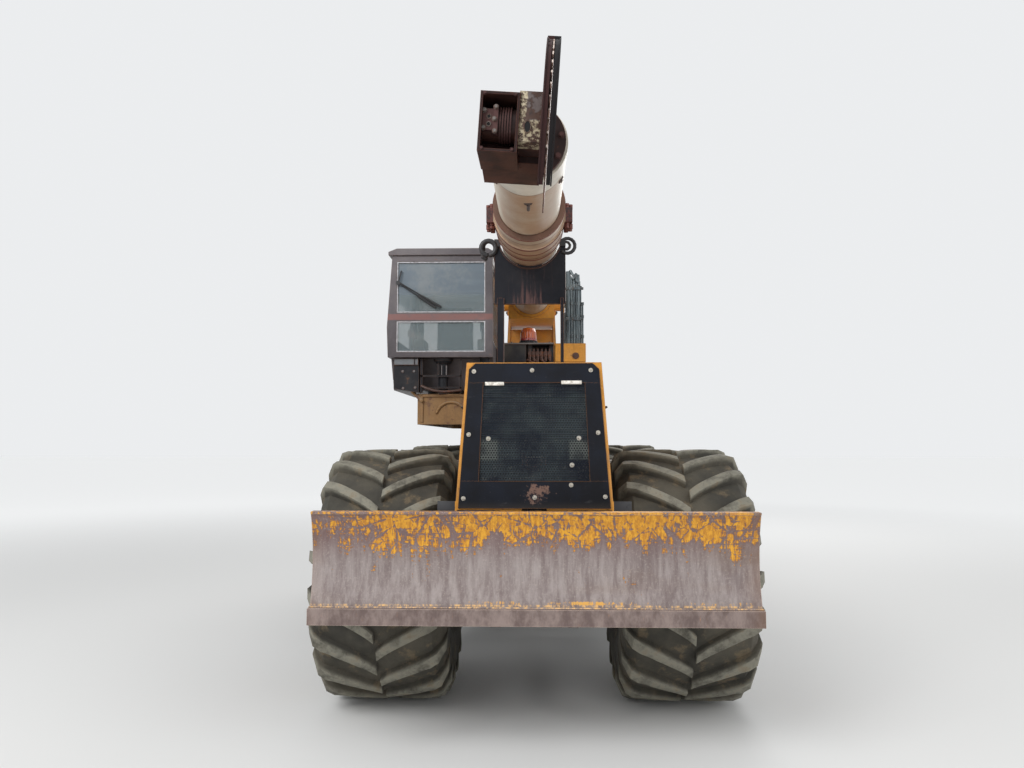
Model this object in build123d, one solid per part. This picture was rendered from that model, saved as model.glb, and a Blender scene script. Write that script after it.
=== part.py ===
from build123d import *
import math
import os

# A four-wheel forestry carrier with a slewing telescopic boom that ends in a circular saw.
# Millimetres. The machine faces -Y, +X is on the right of someone who stands before it, +Z is up.

# Driving dimensions of the carrier, stations counted backwards from the front axle
WHEELBASE = 3000.0
REAR_REACH = 1645.0
WHEEL_X = 900.0
TYRE_R = 785.0
KINGPIN_X = 600.0
FRAME_HALF = 240.0
RAIL_WIDTH = 75.0
RAIL_BOTTOM = 900.0
RAIL_TOP = 1170.0
NOSE_STATION = -560.0
TAIL_STATION = 4000.0
SLEW_STATION = 2800.0

# Driving dimensions of the boom, reaches counted forwards from its pivot along its axis
BOOM_X = -25.0
BOOM_RISE = 2.83
PIVOT_STATION = 4100.0
PIVOT_Z = 3173.0
SAW_REACH = 6438.0
SAW_DROP = 66.0
HEAD_LENGTH = 363.0
SAW_R = 305.0
GUARD_R = 310.0

# Clearances
SEAT_GAP = 0.3
PIN_FIT = 0.05
MOVE_GAP = 5.0

# The origin lies on the ground below the middle of the overall length
RISE = math.radians(BOOM_RISE)
SAW_FRONT = PIVOT_STATION - SAW_REACH * math.cos(RISE) + SAW_DROP * math.sin(RISE) - GUARD_R
FRONT_AXLE_Y = -(SAW_FRONT + WHEELBASE + REAR_REACH) / 2
REAR_AXLE_Y = FRONT_AXLE_Y + WHEELBASE
REAR_END_Y = REAR_AXLE_Y + REAR_REACH
SLEW_Y = FRONT_AXLE_Y + SLEW_STATION
PIVOT_Y = FRONT_AXLE_Y + PIVOT_STATION
NOSE_Y = FRONT_AXLE_Y + NOSE_STATION
TAIL_Y = FRONT_AXLE_Y + TAIL_STATION
AXLE_Z = TYRE_R


def block(x, y, z):
    """A box between two limits on each axis."""
    corner = Box(x[1] - x[0], y[1] - y[0], z[1] - z[0], align=(Align.MIN, Align.MIN, Align.MIN))
    return Pos(x[0], y[0], z[0]) * corner


def round_x(radius, x, y=0.0, z=0.0):
    """A cylinder along X between two limits."""
    return Pos((x[0] + x[1]) / 2, y, z) * Rot(Y=90) * Cylinder(radius, x[1] - x[0])


def round_y(radius, y, x=0.0, z=0.0):
    """A cylinder along Y between two limits."""
    return Pos(x, (y[0] + y[1]) / 2, z) * Rot(X=90) * Cylinder(radius, y[1] - y[0])


def round_z(radius, z, x=0.0, y=0.0):
    """A cylinder along Z between two limits."""
    return Pos(x, y, (z[0] + z[1]) / 2) * Cylinder(radius, z[1] - z[0])


def side_plate(outline, x):
    """A plate whose outline is given as (y, z) corners, between two limits on X."""
    face = make_face(Polyline(*[(x[0], y, z) for y, z in outline], close=True))
    return extrude(face, amount=x[1] - x[0], dir=(1, 0, 0))


def front_plate(outline, y):
    """A plate whose outline is given as (x, z) corners, between two limits on Y."""
    face = make_face(Polyline(*[(x, y[0], z) for x, z in outline], close=True))
    return extrude(face, amount=y[1] - y[0], dir=(0, 1, 0))


def floor_plate(outline, z):
    """A plate whose outline is given as (x, y) corners, between two limits on Z."""
    face = make_face(Polyline(*[(x, y, z[0]) for x, y in outline], close=True))
    return extrude(face, amount=z[1] - z[0], dir=(0, 0, 1))


def spun_x(profile):
    """A solid of revolution about X from (x, radius) corners."""
    face = make_face(Polyline(*[(x, r, 0) for x, r in profile], close=True))
    return revolve(face, axis=Axis.X)


def spun_y(profile):
    """A solid of revolution about Y from (y, radius) corners."""
    face = make_face(Polyline(*[(r, y, 0) for y, r in profile], close=True))
    return revolve(face, axis=Axis.Y)


def fuse(*pieces):
    """One solid from pieces that touch."""
    whole = pieces[0]
    for piece in pieces[1:]:
        whole = whole + piece
    return whole


def both_sides(piece):
    """A piece and its mirror image in the centre plane."""
    return [piece, mirror(piece, about=Plane.YZ)]


def faceted_barrel(sections, sides):
    """A closed barrel along X whose rings are polygons, from (x, radius) sections."""
    rings = []
    for x, radius in sections:
        rings.append(Pos(x, 0, 0) * Rot(Y=90) * Rot(Z=90) * RegularPolygon(radius, sides))
    return loft(rings, ruled=True)


NODES = {}

# Tyres: a faceted carcass with two staggered rows of slanted lugs that taper into the flanks
TYRE_HALF = 395.0
LUG_HEIGHT = 45.0
LUG_WIDTH = 60.0
LUG_COUNT = 18
TYRE_SIDES = 16
BEAD_R = 337.0
BEAD_HALF = 340.0
FLANK_R = 540.0
TREAD_HALF = 300.0
LUG_LINE = ((6.0, -150.0), (TYRE_HALF + 10, 90.0))  # from the tread's middle out and forward


def tyre_sections(tread_half, radius):
    """Ring sections of a carcass, or of the lugs' envelope, as (x, radius)."""
    half = ((BEAD_HALF, BEAD_R + 6), (TYRE_HALF, FLANK_R), (tread_half, radius))
    return [(-x, r) for x, r in half] + [(x, r) for x, r in reversed(half)]


def lug(side):
    """One lug on the given side of the tread, as a prism that the envelope trims."""
    (x0, t0), (x1, t1) = LUG_LINE
    half = LUG_WIDTH / 2
    outline = [(x0, t0 - half), (x1, t1 - half), (x1, t1 + half), (x0, t0 + half)]
    corners = [(side * x, t, FLANK_R - 10) for x, t in outline]
    return extrude(make_face(Polyline(*corners, close=True)), amount=TYRE_R, dir=(0, 0, 1))


def tyre():
    """The tyre about the origin, its axle along X."""
    carcass = faceted_barrel(tyre_sections(TREAD_HALF, TYRE_R - LUG_HEIGHT), TYRE_SIDES)
    envelope = faceted_barrel(tyre_sections(TREAD_HALF - 10, TYRE_R), TYRE_SIDES)
    pitch = 360 / LUG_COUNT
    lugs = []
    for side, stagger in ((1, 0.0), (-1, pitch / 2)):
        first = lug(side) & envelope
        lugs += [Rot(X=stagger + pitch * k) * first for k in range(LUG_COUNT)]
    bore_r = (BEAD_R + SEAT_GAP) / math.cos(math.pi / TYRE_SIDES)
    bore = faceted_barrel([(-TYRE_HALF, bore_r), (TYRE_HALF, bore_r)], TYRE_SIDES)
    return carcass + lugs - bore


# Rims: barrel, dished disc and the planetary hub that runs on the knuckle's spindle
RIM_WALL = 17.0
FLANGE_HEIGHT = 28.0
FLANGE_FLARE = 8.0
FLANGE_THICK = 12.0
DISC_OFFSET = -85.0
DISC_THICK = 14.0
HUB_R = 150.0
HUB_INNER = -210.0
CAP_OUTER = 45.0
CAP_R = 92.0
DISH_R = 262.0
DISH_DEPTH = 34.0
SPINDLE_R = 50.0
SPINDLE_END = -80.0


def rim():
    """The rim about the origin, its outer face towards +X."""
    seat = BEAD_HALF + SEAT_GAP
    lip = seat + FLANGE_FLARE
    inner = BEAD_R - RIM_WALL
    flange = BEAD_R + FLANGE_HEIGHT
    barrel = spun_x([
        (-lip, inner), (lip, inner), (lip + FLANGE_THICK, flange), (lip, flange),
        (seat, BEAD_R), (-seat, BEAD_R), (-lip, flange), (-lip - FLANGE_THICK, flange),
    ])
    outer = DISC_OFFSET + DISC_THICK
    disc = spun_x([
        (DISC_OFFSET, 0.0), (DISC_OFFSET, DISH_R), (DISC_OFFSET - DISH_DEPTH, inner + 1),
        (outer - DISH_DEPTH, inner + 1), (outer, DISH_R + 8), (outer, HUB_R - 20),
        (CAP_OUTER, CAP_R), (CAP_OUTER, 0.0),
    ])
    hub = spun_x([(HUB_INNER, 0.0), (HUB_INNER, HUB_R - 20), (DISC_OFFSET, HUB_R), (DISC_OFFSET, 0.0)])
    bore = round_x(SPINDLE_R + PIN_FIT, (HUB_INNER - 1, SPINDLE_END))
    return fuse(barrel, disc, hub) - bore


TYRE = tyre()
RIM = rim()
WHEELS = (  # name, side, axle station
    ("front_left", -1, FRONT_AXLE_Y),
    ("front_right", 1, FRONT_AXLE_Y),
    ("rear_left", -1, REAR_AXLE_Y),
    ("rear_right", 1, REAR_AXLE_Y),
)
for wheel_name, side, axle_y in WHEELS:
    place = Pos(side * WHEEL_X, axle_y, AXLE_Z)
    NODES["tyre_" + wheel_name] = place * TYRE
    NODES["rim_" + wheel_name] = place * (RIM if side > 0 else mirror(RIM, about=Plane.YZ))

# Axles: a beam with a drive housing and a forked end round each kingpin
BEAM_HALF_Y = 70.0
BEAM_HALF_Z = 75.0
FORK_INNER = 455.0
FORK_WEB = 520.0
FORK_ARM_R = 62.0
FORK_LOW = 125.0
FORK_HIGH = 165.0
KINGPIN_R = 30.0
DRIVE_R = 165.0
DRIVE_HALF = 150.0
DRIVE_END_R = 95.0
NOSE_R = 80.0
NOSE_REACH = 230.0


def axle():
    """A steering axle about the origin, its drive housing nose towards +Y."""
    beam = block((-FORK_INNER - 5, FORK_INNER + 5), (-BEAM_HALF_Y, BEAM_HALF_Y), (-BEAM_HALF_Z, BEAM_HALF_Z))
    housing = spun_x([
        (-DRIVE_HALF, 0), (-DRIVE_HALF, DRIVE_END_R), (-0.4 * DRIVE_HALF, DRIVE_R), (0.4 * DRIVE_HALF, DRIVE_R),
        (DRIVE_HALF, DRIVE_END_R), (DRIVE_HALF, 0),
    ])
    nose = round_y(NOSE_R, (0, NOSE_REACH))
    pads = both_sides(block((FRAME_HALF - RAIL_WIDTH, FRAME_HALF), (-90, 90), (0, RAIL_BOTTOM - AXLE_Z)))
    fork = block((FORK_INNER, FORK_WEB), (-FORK_ARM_R - 18, FORK_ARM_R + 18), (-FORK_HIGH, FORK_HIGH))
    for low, high in ((FORK_LOW, FORK_HIGH), (-FORK_HIGH, -FORK_LOW)):
        fork += block((FORK_WEB - 1, KINGPIN_X), (-FORK_ARM_R, FORK_ARM_R), (low, high))
        fork += round_z(FORK_ARM_R, (low, high), x=KINGPIN_X)
    fork -= round_z(KINGPIN_R + PIN_FIT, (-FORK_HIGH - 1, FORK_HIGH + 1), x=KINGPIN_X)
    return fuse(beam, housing, nose, *pads, *both_sides(fork))


AXLE = axle()
NODES["front_axle"] = Pos(0, FRONT_AXLE_Y, AXLE_Z) * AXLE
NODES["rear_axle"] = Pos(0, REAR_AXLE_Y, AXLE_Z) * mirror(AXLE, about=Plane.XZ)

# Knuckles: a block on its kingpins, the wheel spindle and a steering arm with its ball pin
KNUCKLE_INNER = KINGPIN_X - 38
KNUCKLE_FACE = KINGPIN_X + 40
KNUCKLE_OUTER = WHEEL_X + HUB_INNER - 8
NECK_R = 95.0
ARM_LENGTH = 205.0
ARM_PIN_R = 14.0
ARM_LOW = -60.0
ARM_HIGH = -36.0
TIE_ROD_R = 16.0
TIE_EYE_R = 30.0


def knuckle():
    """The knuckle of a +X front wheel about the axle's middle, its arm towards -Y."""
    body = block((KNUCKLE_INNER, KNUCKLE_FACE), (-65, 65), (-FORK_LOW + MOVE_GAP, FORK_LOW - MOVE_GAP))
    neck = round_x(NECK_R, (KNUCKLE_FACE - 1, KNUCKLE_OUTER))
    spindle = round_x(SPINDLE_R, (KNUCKLE_OUTER - 1, WHEEL_X + SPINDLE_END - 10))
    pins = round_z(KINGPIN_R, (-FORK_HIGH, FORK_HIGH), x=KINGPIN_X)
    arm = block((KINGPIN_X - 22, KINGPIN_X + 22), (-ARM_LENGTH, -60), (ARM_LOW, ARM_HIGH))
    boss = round_z(32, (ARM_LOW, ARM_HIGH), x=KINGPIN_X, y=-ARM_LENGTH)
    ball = round_z(ARM_PIN_R, (ARM_LOW, ARM_HIGH + 52), x=KINGPIN_X, y=-ARM_LENGTH)
    return fuse(body, neck, spindle, pins, arm, boss, ball)


def tie_rod():
    """The rod between the two steering arms, about the axle's middle."""
    low = ARM_HIGH + SEAT_GAP
    eye = round_z(TIE_EYE_R, (low, low + 40), x=KINGPIN_X, y=-ARM_LENGTH)
    bar = round_x(TIE_ROD_R, (-KINGPIN_X, KINGPIN_X), y=-ARM_LENGTH, z=low + 20)
    bore = round_z(ARM_PIN_R + PIN_FIT, (ARM_LOW, 60), x=KINGPIN_X, y=-ARM_LENGTH)
    return fuse(bar, *both_sides(eye)) - both_sides(bore)


KNUCKLE = knuckle()
TIE_ROD = tie_rod()
for wheel_name, side, axle_y in WHEELS:
    piece = KNUCKLE if side > 0 else mirror(KNUCKLE, about=Plane.YZ)
    if axle_y == REAR_AXLE_Y:
        piece = mirror(piece, about=Plane.XZ)
    NODES["knuckle_" + wheel_name] = Pos(0, axle_y, AXLE_Z) * piece
NODES["tie_rod_front"] = Pos(0, FRONT_AXLE_Y, AXLE_Z) * TIE_ROD
NODES["tie_rod_rear"] = Pos(0, REAR_AXLE_Y, AXLE_Z) * mirror(TIE_ROD, about=Plane.XZ)

# Chassis frame: two box rails, cross members and the brackets of the blade arms
ARM_X = (195.0, 255.0)
ARM_PIVOT_Y = FRONT_AXLE_Y + 850
ARM_PIVOT_Z = 600.0
ARM_PIVOT_R = 25.0
BRACKET_PLATE = 15.0
BLADE_EYE_HALF = 40.0
BLADE_CYL_Y = NOSE_Y - 80
BLADE_CYL_Z = 1500.0
BLADE_CYL_PIN_R = 18.0


def chassis_frame():
    """Rails, cross members, nose bracket and blade arm brackets as one weldment."""
    rails = both_sides(block((FRAME_HALF - RAIL_WIDTH, FRAME_HALF), (NOSE_Y, TAIL_Y), (RAIL_BOTTOM, RAIL_TOP)))
    crosses = []
    under_hood = (ARM_PIVOT_Y + SLEW_Y) / 2 - 325
    for middle in (FRONT_AXLE_Y, ARM_PIVOT_Y, under_hood, SLEW_Y - 700, REAR_AXLE_Y, TAIL_Y - 300):
        crosses.append(block((-FRAME_HALF + 1, FRAME_HALF - 1), (middle - 60, middle + 60),
                             (RAIL_BOTTOM + 80, RAIL_TOP - 40)))
    nose = block((-FRAME_HALF, FRAME_HALF), (NOSE_Y - 20, NOSE_Y + 10), (RAIL_BOTTOM - 40, RAIL_TOP))
    tail = block((-FRAME_HALF, FRAME_HALF), (TAIL_Y - 10, TAIL_Y + 30), (RAIL_BOTTOM - 40, RAIL_TOP))
    post = block((-75, 75), (NOSE_Y - 20, NOSE_Y + 10), (RAIL_TOP - 5, BLADE_CYL_Z + 60))
    ears = both_sides(block((BLADE_EYE_HALF + MOVE_GAP, BLADE_EYE_HALF + MOVE_GAP + 20),
                            (BLADE_CYL_Y - 40, NOSE_Y), (BLADE_CYL_Z - 55, BLADE_CYL_Z + 55)))
    pin = round_x(BLADE_CYL_PIN_R, (-BLADE_EYE_HALF - 30, BLADE_EYE_HALF + 30), y=BLADE_CYL_Y, z=BLADE_CYL_Z)
    frame = fuse(*rails, *crosses, nose, tail, post, *ears, pin)
    inner = ARM_X[0] - MOVE_GAP
    outer = ARM_X[1] + MOVE_GAP
    depth = (ARM_PIVOT_Y - 70, ARM_PIVOT_Y + 70)
    for x in ((inner - BRACKET_PLATE, inner), (outer, outer + BRACKET_PLATE)):
        for plate in both_sides(block(x, depth, (ARM_PIVOT_Z - 60, RAIL_BOTTOM))):
            frame += plate
    span = (inner - BRACKET_PLATE, outer + BRACKET_PLATE)
    for cap in both_sides(block(span, depth, (RAIL_BOTTOM - 20, RAIL_BOTTOM + 5))):
        frame += cap
    for shaft in both_sides(round_x(ARM_PIVOT_R, span, y=ARM_PIVOT_Y, z=ARM_PIVOT_Z)):
        frame += shaft
    return frame


NODES["chassis_frame"] = chassis_frame()

# Hood: a tapered sheet box over the engine with the black louvred panel in front of it
HOOD_TOP = 2080.0
HOOD_FLOOR = 1600.0
PANEL_FOOT = 1240.0
HOOD_TOP_HALF = 390.0
PANEL_FOOT_HALF = 445.0
PANEL_FOOT_Y = FRONT_AXLE_Y - 750
PANEL_TOP_Y = FRONT_AXLE_Y - 670
PANEL_THICK = 12.0
SHEET = 6.0
HOOD_BACK_Y = FRONT_AXLE_Y - 130
COVER_Y = (FRONT_AXLE_Y - 30, FRONT_AXLE_Y + 650)
PANEL_TILT = math.degrees(math.atan2(PANEL_TOP_Y - PANEL_FOOT_Y, HOOD_TOP - PANEL_FOOT))
PANEL_HEIGHT = math.hypot(PANEL_TOP_Y - PANEL_FOOT_Y, HOOD_TOP - PANEL_FOOT)
FLARE = (PANEL_FOOT_HALF - HOOD_TOP_HALF) / (HOOD_TOP - PANEL_FOOT)
HOOD_FLOOR_HALF = HOOD_TOP_HALF + FLARE * (HOOD_TOP - HOOD_FLOOR)
PANEL_FRAME = Pos(0, PANEL_FOOT_Y, PANEL_FOOT) * Rot(X=-PANEL_TILT)


def hood_section(inset):
    """The hood's cross section as (x, z) corners, inset by a sheet's thickness."""
    top = HOOD_TOP - inset
    corner = 45.0
    return [
        (-HOOD_FLOOR_HALF + inset, HOOD_FLOOR), (HOOD_FLOOR_HALF - inset, HOOD_FLOOR),
        (HOOD_TOP_HALF - inset, top - corner), (HOOD_TOP_HALF - inset - corner, top),
        (-HOOD_TOP_HALF + inset + corner, top), (-HOOD_TOP_HALF + inset, top - corner),
    ]


def panel_sheet(margin, y, low, high):
    """A tapered sheet on the hood's slanted front, with a margin inside its edges."""
    foot = PANEL_FOOT_HALF - margin
    top = HOOD_TOP_HALF - margin
    sheet = front_plate([(-foot, low), (foot, low), (top, high), (-top, high)], y)
    return PANEL_FRAME * sheet


def hood():
    """The front hood: sheet shell, slanted front frame and bulkhead down to the rails."""
    shell = front_plate(hood_section(0), (PANEL_FOOT_Y, HOOD_BACK_Y))
    shell -= front_plate(hood_section(SHEET), (PANEL_FOOT_Y - 1, HOOD_BACK_Y - SHEET))
    shell -= PANEL_FRAME * block((-900, 900), (-400, 0), (-200, 1400))
    tray = panel_sheet(0, (0, 90), 0, PANEL_HEIGHT)
    tray -= panel_sheet(30, (-1, 91), 30, PANEL_HEIGHT - 30)
    tray -= PANEL_FRAME * block((-70, 70), (-1, 91), (-1, 31))
    inside = FRAME_HALF - 10
    bulkhead = block((-inside, inside), (HOOD_BACK_Y - 20, HOOD_BACK_Y), (RAIL_TOP, HOOD_FLOOR + 40))
    strut = block((inside - 30, inside), (PANEL_FOOT_Y + 40, NOSE_Y + 60), (PANEL_FOOT, PANEL_FOOT + 30))
    foot = block((inside - 30, inside), (NOSE_Y + 20, NOSE_Y + 60), (RAIL_TOP, PANEL_FOOT + 5))
    struts = both_sides(strut)
    feet = both_sides(foot)
    ears = both_sides(PANEL_FRAME * block((PANEL_FOOT_HALF - 10, PANEL_FOOT_HALF + 100), (0, 50), (-20, 50)))
    return fuse(shell, tray, bulkhead, *struts, *feet, *ears)


def rear_cover():
    """The cover over the back of the engine, on a bulkhead at each end."""
    shell = front_plate(hood_section(0), COVER_Y)
    shell -= front_plate(hood_section(SHEET), (COVER_Y[0] + SHEET, COVER_Y[1] - SHEET))
    inside = FRAME_HALF - 10
    for y in (COVER_Y[0], COVER_Y[1] - 20):
        shell += block((-inside, inside), (y, y + 20), (RAIL_TOP, HOOD_FLOOR + 40))
    return shell


# Grille: the bolted front panel with a framed window, and two layers of slanted bars across it
WINDOW_LOW = 158.0
WINDOW_HIGH = 722.0
WINDOW_FOOT_HALF = 311.0
WINDOW_TOP_HALF = 289.0
BAR_WIDTH = 6.0
BAR_THICK = 3.0
BAR_PITCH = 33.0
BAR_LEAN = 60.0


def window_prism(inset, y):
    """The window's tapered opening, inset by a clearance, between two depths behind the panel's frame."""
    foot = WINDOW_FOOT_HALF - inset
    top = WINDOW_TOP_HALF - inset
    low = WINDOW_LOW + inset
    high = WINDOW_HIGH - inset
    return front_plate([(-foot, low), (foot, low), (top, high), (-top, high)], y)


def grille_bars(lean, y):
    """One layer of parallel bars that lean from the horizontal, cut to the window."""
    middle = (WINDOW_LOW + WINDOW_HIGH) / 2
    reach = WINDOW_HIGH - WINDOW_LOW
    opening = window_prism(SEAT_GAP, y)
    count = int(reach / BAR_PITCH / 2) + 4
    bars = []
    for k in range(-count, count + 1):
        long_bar = block((-reach, reach), y, (k * BAR_PITCH - BAR_WIDTH / 2, k * BAR_PITCH + BAR_WIDTH / 2))
        cut = (Pos(0, 0, middle) * Rot(Y=lean) * long_bar) & opening
        bars += [bar for bar in cut.solids() if bar.volume > BAR_WIDTH ** 3]
    return bars


PANEL_FACE = -PANEL_THICK - SEAT_GAP
PANEL_MIDDLE = PANEL_FACE + PANEL_THICK / 2
panel = panel_sheet(16, (PANEL_FACE, -SEAT_GAP), 8, PANEL_HEIGHT - 6)
panel -= PANEL_FRAME * window_prism(0, (PANEL_FACE - 1, 1))
grille_layers = grille_bars(BAR_LEAN, (PANEL_MIDDLE - BAR_THICK, PANEL_MIDDLE))
grille_layers += grille_bars(-BAR_LEAN, (PANEL_MIDDLE, PANEL_MIDDLE + BAR_THICK))
NODES["hood"] = hood()
NODES["rear_cover"] = rear_cover()
NODES["grille_panel"] = Compound(children=[panel, *[PANEL_FRAME * bar for bar in grille_layers]])
NODES["engine_block"] = block((-185, 185), (HOOD_BACK_Y + 120, COVER_Y[1] - 60), (RAIL_TOP, 1900))

# Boom rest: a cradle plate on two legs that stand on the rails
REST_Y = (FRONT_AXLE_Y - 95, FRONT_AXLE_Y - 65)
REST_X = (BOOM_X - 235, BOOM_X + 235)
REST_LOW = 2522.0
OUTER_TUBE_R = 192.0
CRADLE_R = OUTER_TUBE_R + 18
REST_LEGS = ((-240.0, -195.0), (175.0, 195.0))


def boom_axis_z(y):
    """Height of the resting boom's axis at a place along the machine."""
    return PIVOT_Z - (PIVOT_Y - y) * math.tan(RISE)


def boom_rest():
    """Cradle plate, two legs, cross braces and the rubber pad under the tube."""
    axis_z = boom_axis_z((REST_Y[0] + REST_Y[1]) / 2)
    plate = block(REST_X, REST_Y, (REST_LOW, axis_z - 10))
    plate -= round_y(CRADLE_R, (REST_Y[0] - 1, REST_Y[1] + 1), x=BOOM_X, z=axis_z)
    pad = round_y(CRADLE_R + 2, (REST_Y[0] - 20, REST_Y[1] + 20), x=BOOM_X, z=axis_z)
    pad &= block((BOOM_X - 90, BOOM_X + 90), (REST_Y[0] - 20, REST_Y[1] + 20), (axis_z - 260, axis_z))
    slope = Pos(BOOM_X, PIVOT_Y, PIVOT_Z) * Rot(X=BOOM_RISE)
    pad -= slope * round_y(OUTER_TUBE_R + SEAT_GAP, (-SAW_REACH, 0))
    legs = [block(x, (REST_Y[0] - 15, REST_Y[1] + 15), (RAIL_TOP, REST_LOW + 40)) for x in REST_LEGS]
    between = (REST_LEGS[0][1] - 1, REST_LEGS[1][0] + 1)
    braces = [block(between, REST_Y, (z, z + 50)) for z in (HOOD_TOP - 130, REST_LOW - 222)]
    return fuse(plate, pad, *legs, *braces)


NODES["boom_rest"] = boom_rest()

# Slew base: a pedestal on the rails under the slewing ring
RING_TOP = 1755.0
NODES["slew_base"] = fuse(
    block((-FRAME_HALF + 10, FRAME_HALF - 10), (SLEW_Y - 300, SLEW_Y + 300), (RAIL_TOP, HOOD_FLOOR + 5)),
    round_z(520, (HOOD_FLOOR, 1690), y=SLEW_Y),
    round_z(470, (1689, RING_TOP - SEAT_GAP), y=SLEW_Y),
)

# Side tanks between the wheels, and the steps on the cab's side
TANK_Y = (FRONT_AXLE_Y + 1030, FRONT_AXLE_Y + 1970)
TANK_X = (265.0, 1050.0)
TANK_Z = (740.0, 1450.0)
tank = fillet(block(TANK_X, TANK_Y, TANK_Z).edges().filter_by(Axis.Y), 60)
tank_mount_y = (TANK_Y[0] + 200, TANK_Y[1] - 200)
tank_mount = block((FRAME_HALF, TANK_X[0] + 5), tank_mount_y, (RAIL_BOTTOM + 40, RAIL_TOP - 30))
NODES["side_tanks"] = Compound(children=both_sides(fuse(tank, tank_mount)))
STEP_DEPTH = 150.0
STEP_Y = (TANK_Y[0] + 250, TANK_Y[0] + 690)
STEP_SHEET = 25.0
STEP_RISE = 280.0
STEP_X = (-TANK_X[1] - STEP_DEPTH, -TANK_X[1])
STEP_Z = (TANK_Z[0] - 140, TANK_Z[1] - 60)
step_parts = [block(STEP_X, (y, y + STEP_SHEET), STEP_Z) for y in (STEP_Y[0], STEP_Y[1] - STEP_SHEET)]
for tread in (0, 1, 2):
    z = STEP_Z[0] + 20 + STEP_RISE * tread
    step_parts.append(block((STEP_X[0], STEP_X[1] - 20), (STEP_Y[0] + 20, STEP_Y[1] - 20), (z, z + STEP_SHEET)))
NODES["access_steps"] = fuse(*step_parts)

# Counterweight and hitch at the tail
WEIGHT_Y = (TAIL_Y + 30, REAR_END_Y - 85)
WEIGHT_HALF = 950.0
HITCH_R = 20.0
HITCH_Z = (940.0, 1060.0)
HITCH_Y = REAR_END_Y - 45
WEIGHT_Z = (860.0, 1480.0)
HITCH_PLATE = 22.0
weight = floor_plate([
    (-WEIGHT_HALF, WEIGHT_Y[0]), (WEIGHT_HALF, WEIGHT_Y[0]), (WEIGHT_HALF, WEIGHT_Y[1] - 160),
    (WEIGHT_HALF - 200, WEIGHT_Y[1]), (-WEIGHT_HALF + 200, WEIGHT_Y[1]), (-WEIGHT_HALF, WEIGHT_Y[1] - 160),
], WEIGHT_Z)
for z in (HITCH_Z[0] - HITCH_PLATE, HITCH_Z[1]):
    plate = block((-60, 60), (WEIGHT_Y[1] - 5, REAR_END_Y), (z, z + HITCH_PLATE))
    weight += plate - round_z(HITCH_R, (z - 1, z + HITCH_PLATE + 1), y=HITCH_Y)
NODES["counterweight"] = weight

# Blade: a curved mouldboard with its cutting edge, back beam and push arms
BLADE_HALF = 1150.0
BLADE_BOTTOM = 700.0
BLADE_TOP = 1267.0
BLADE_FRONT_Y = FRONT_AXLE_Y - 1176
BLADE_LEAN = 34.0
BLADE_HOLLOW = 62.0
BOARD_THICK = 14.0
EDGE_HEIGHT = 85.0
EDGE_THICK = 20.0
BEAM_HALF = 700.0
BEAM_DEPTH = 150.0
BEAM_Z = (860.0, 990.0)
RIB_COUNT = 6
RIB_THICK = 12.0


def blade():
    """Mouldboard, cutting edge, back beam and end gussets."""
    foot = BLADE_FRONT_Y + EDGE_THICK
    top = BLADE_FRONT_Y + BLADE_LEAN
    middle = (foot + top) / 2 + BLADE_HOLLOW
    low = BLADE_BOTTOM + 10
    high_mid = (low + BLADE_TOP) / 2
    front = ThreePointArc((0, foot, low), (0, middle, high_mid), (0, top, BLADE_TOP))
    back_foot = foot + BOARD_THICK
    back_top = top + BOARD_THICK
    back = ThreePointArc((0, back_top, BLADE_TOP), (0, middle + BOARD_THICK, high_mid), (0, back_foot, low))
    outline = Wire([front, Line(front @ 1, back @ 0), back, Line(back @ 1, front @ 0)])
    board = Pos(-BLADE_HALF, 0, 0) * extrude(make_face(outline), amount=2 * BLADE_HALF, dir=(1, 0, 0))
    ahead_low = (0, foot - 90, low)
    ahead_high = (0, foot - 90, BLADE_TOP)
    ahead = Wire([front, Line(front @ 1, ahead_high), Line(ahead_high, ahead_low), Line(ahead_low, front @ 0)])
    space = Pos(-BLADE_HALF - 1, 0, 0) * extrude(make_face(ahead), amount=2 * BLADE_HALF + 2, dir=(1, 0, 0))
    width = (-BLADE_HALF, BLADE_HALF)
    edge = block(width, (BLADE_FRONT_Y, foot + 4), (BLADE_BOTTOM, BLADE_BOTTOM + EDGE_HEIGHT))
    beam = block((-BEAM_HALF, BEAM_HALF), (middle + BOARD_THICK - 8, foot + BEAM_DEPTH), BEAM_Z)
    lip = block(width, (top, top + 60), (BLADE_TOP - BOARD_THICK, BLADE_TOP))
    rib_outline = [
        (foot + 8, low + 5), (foot + 110, BEAM_Z[0] - 60), (foot + 110, BEAM_Z[1] - 40),
        (top + 55, BLADE_TOP - 5), (top + 8, BLADE_TOP - 5),
    ]
    ribs = []
    for k in range(RIB_COUNT):
        x = -BLADE_HALF + RIB_THICK + (2 * BLADE_HALF - 3 * RIB_THICK) * k / (RIB_COUNT - 1)
        ribs.append(side_plate(rib_outline, (x, x + RIB_THICK)) - space)
    return fuse(board, edge, beam, lip, *ribs)


BLADE_LUG_Y = FRONT_AXLE_Y - 790
BLADE_LUG_Z = 760.0
BEAM_BACK_Y = BLADE_FRONT_Y + EDGE_THICK + BEAM_DEPTH


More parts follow.
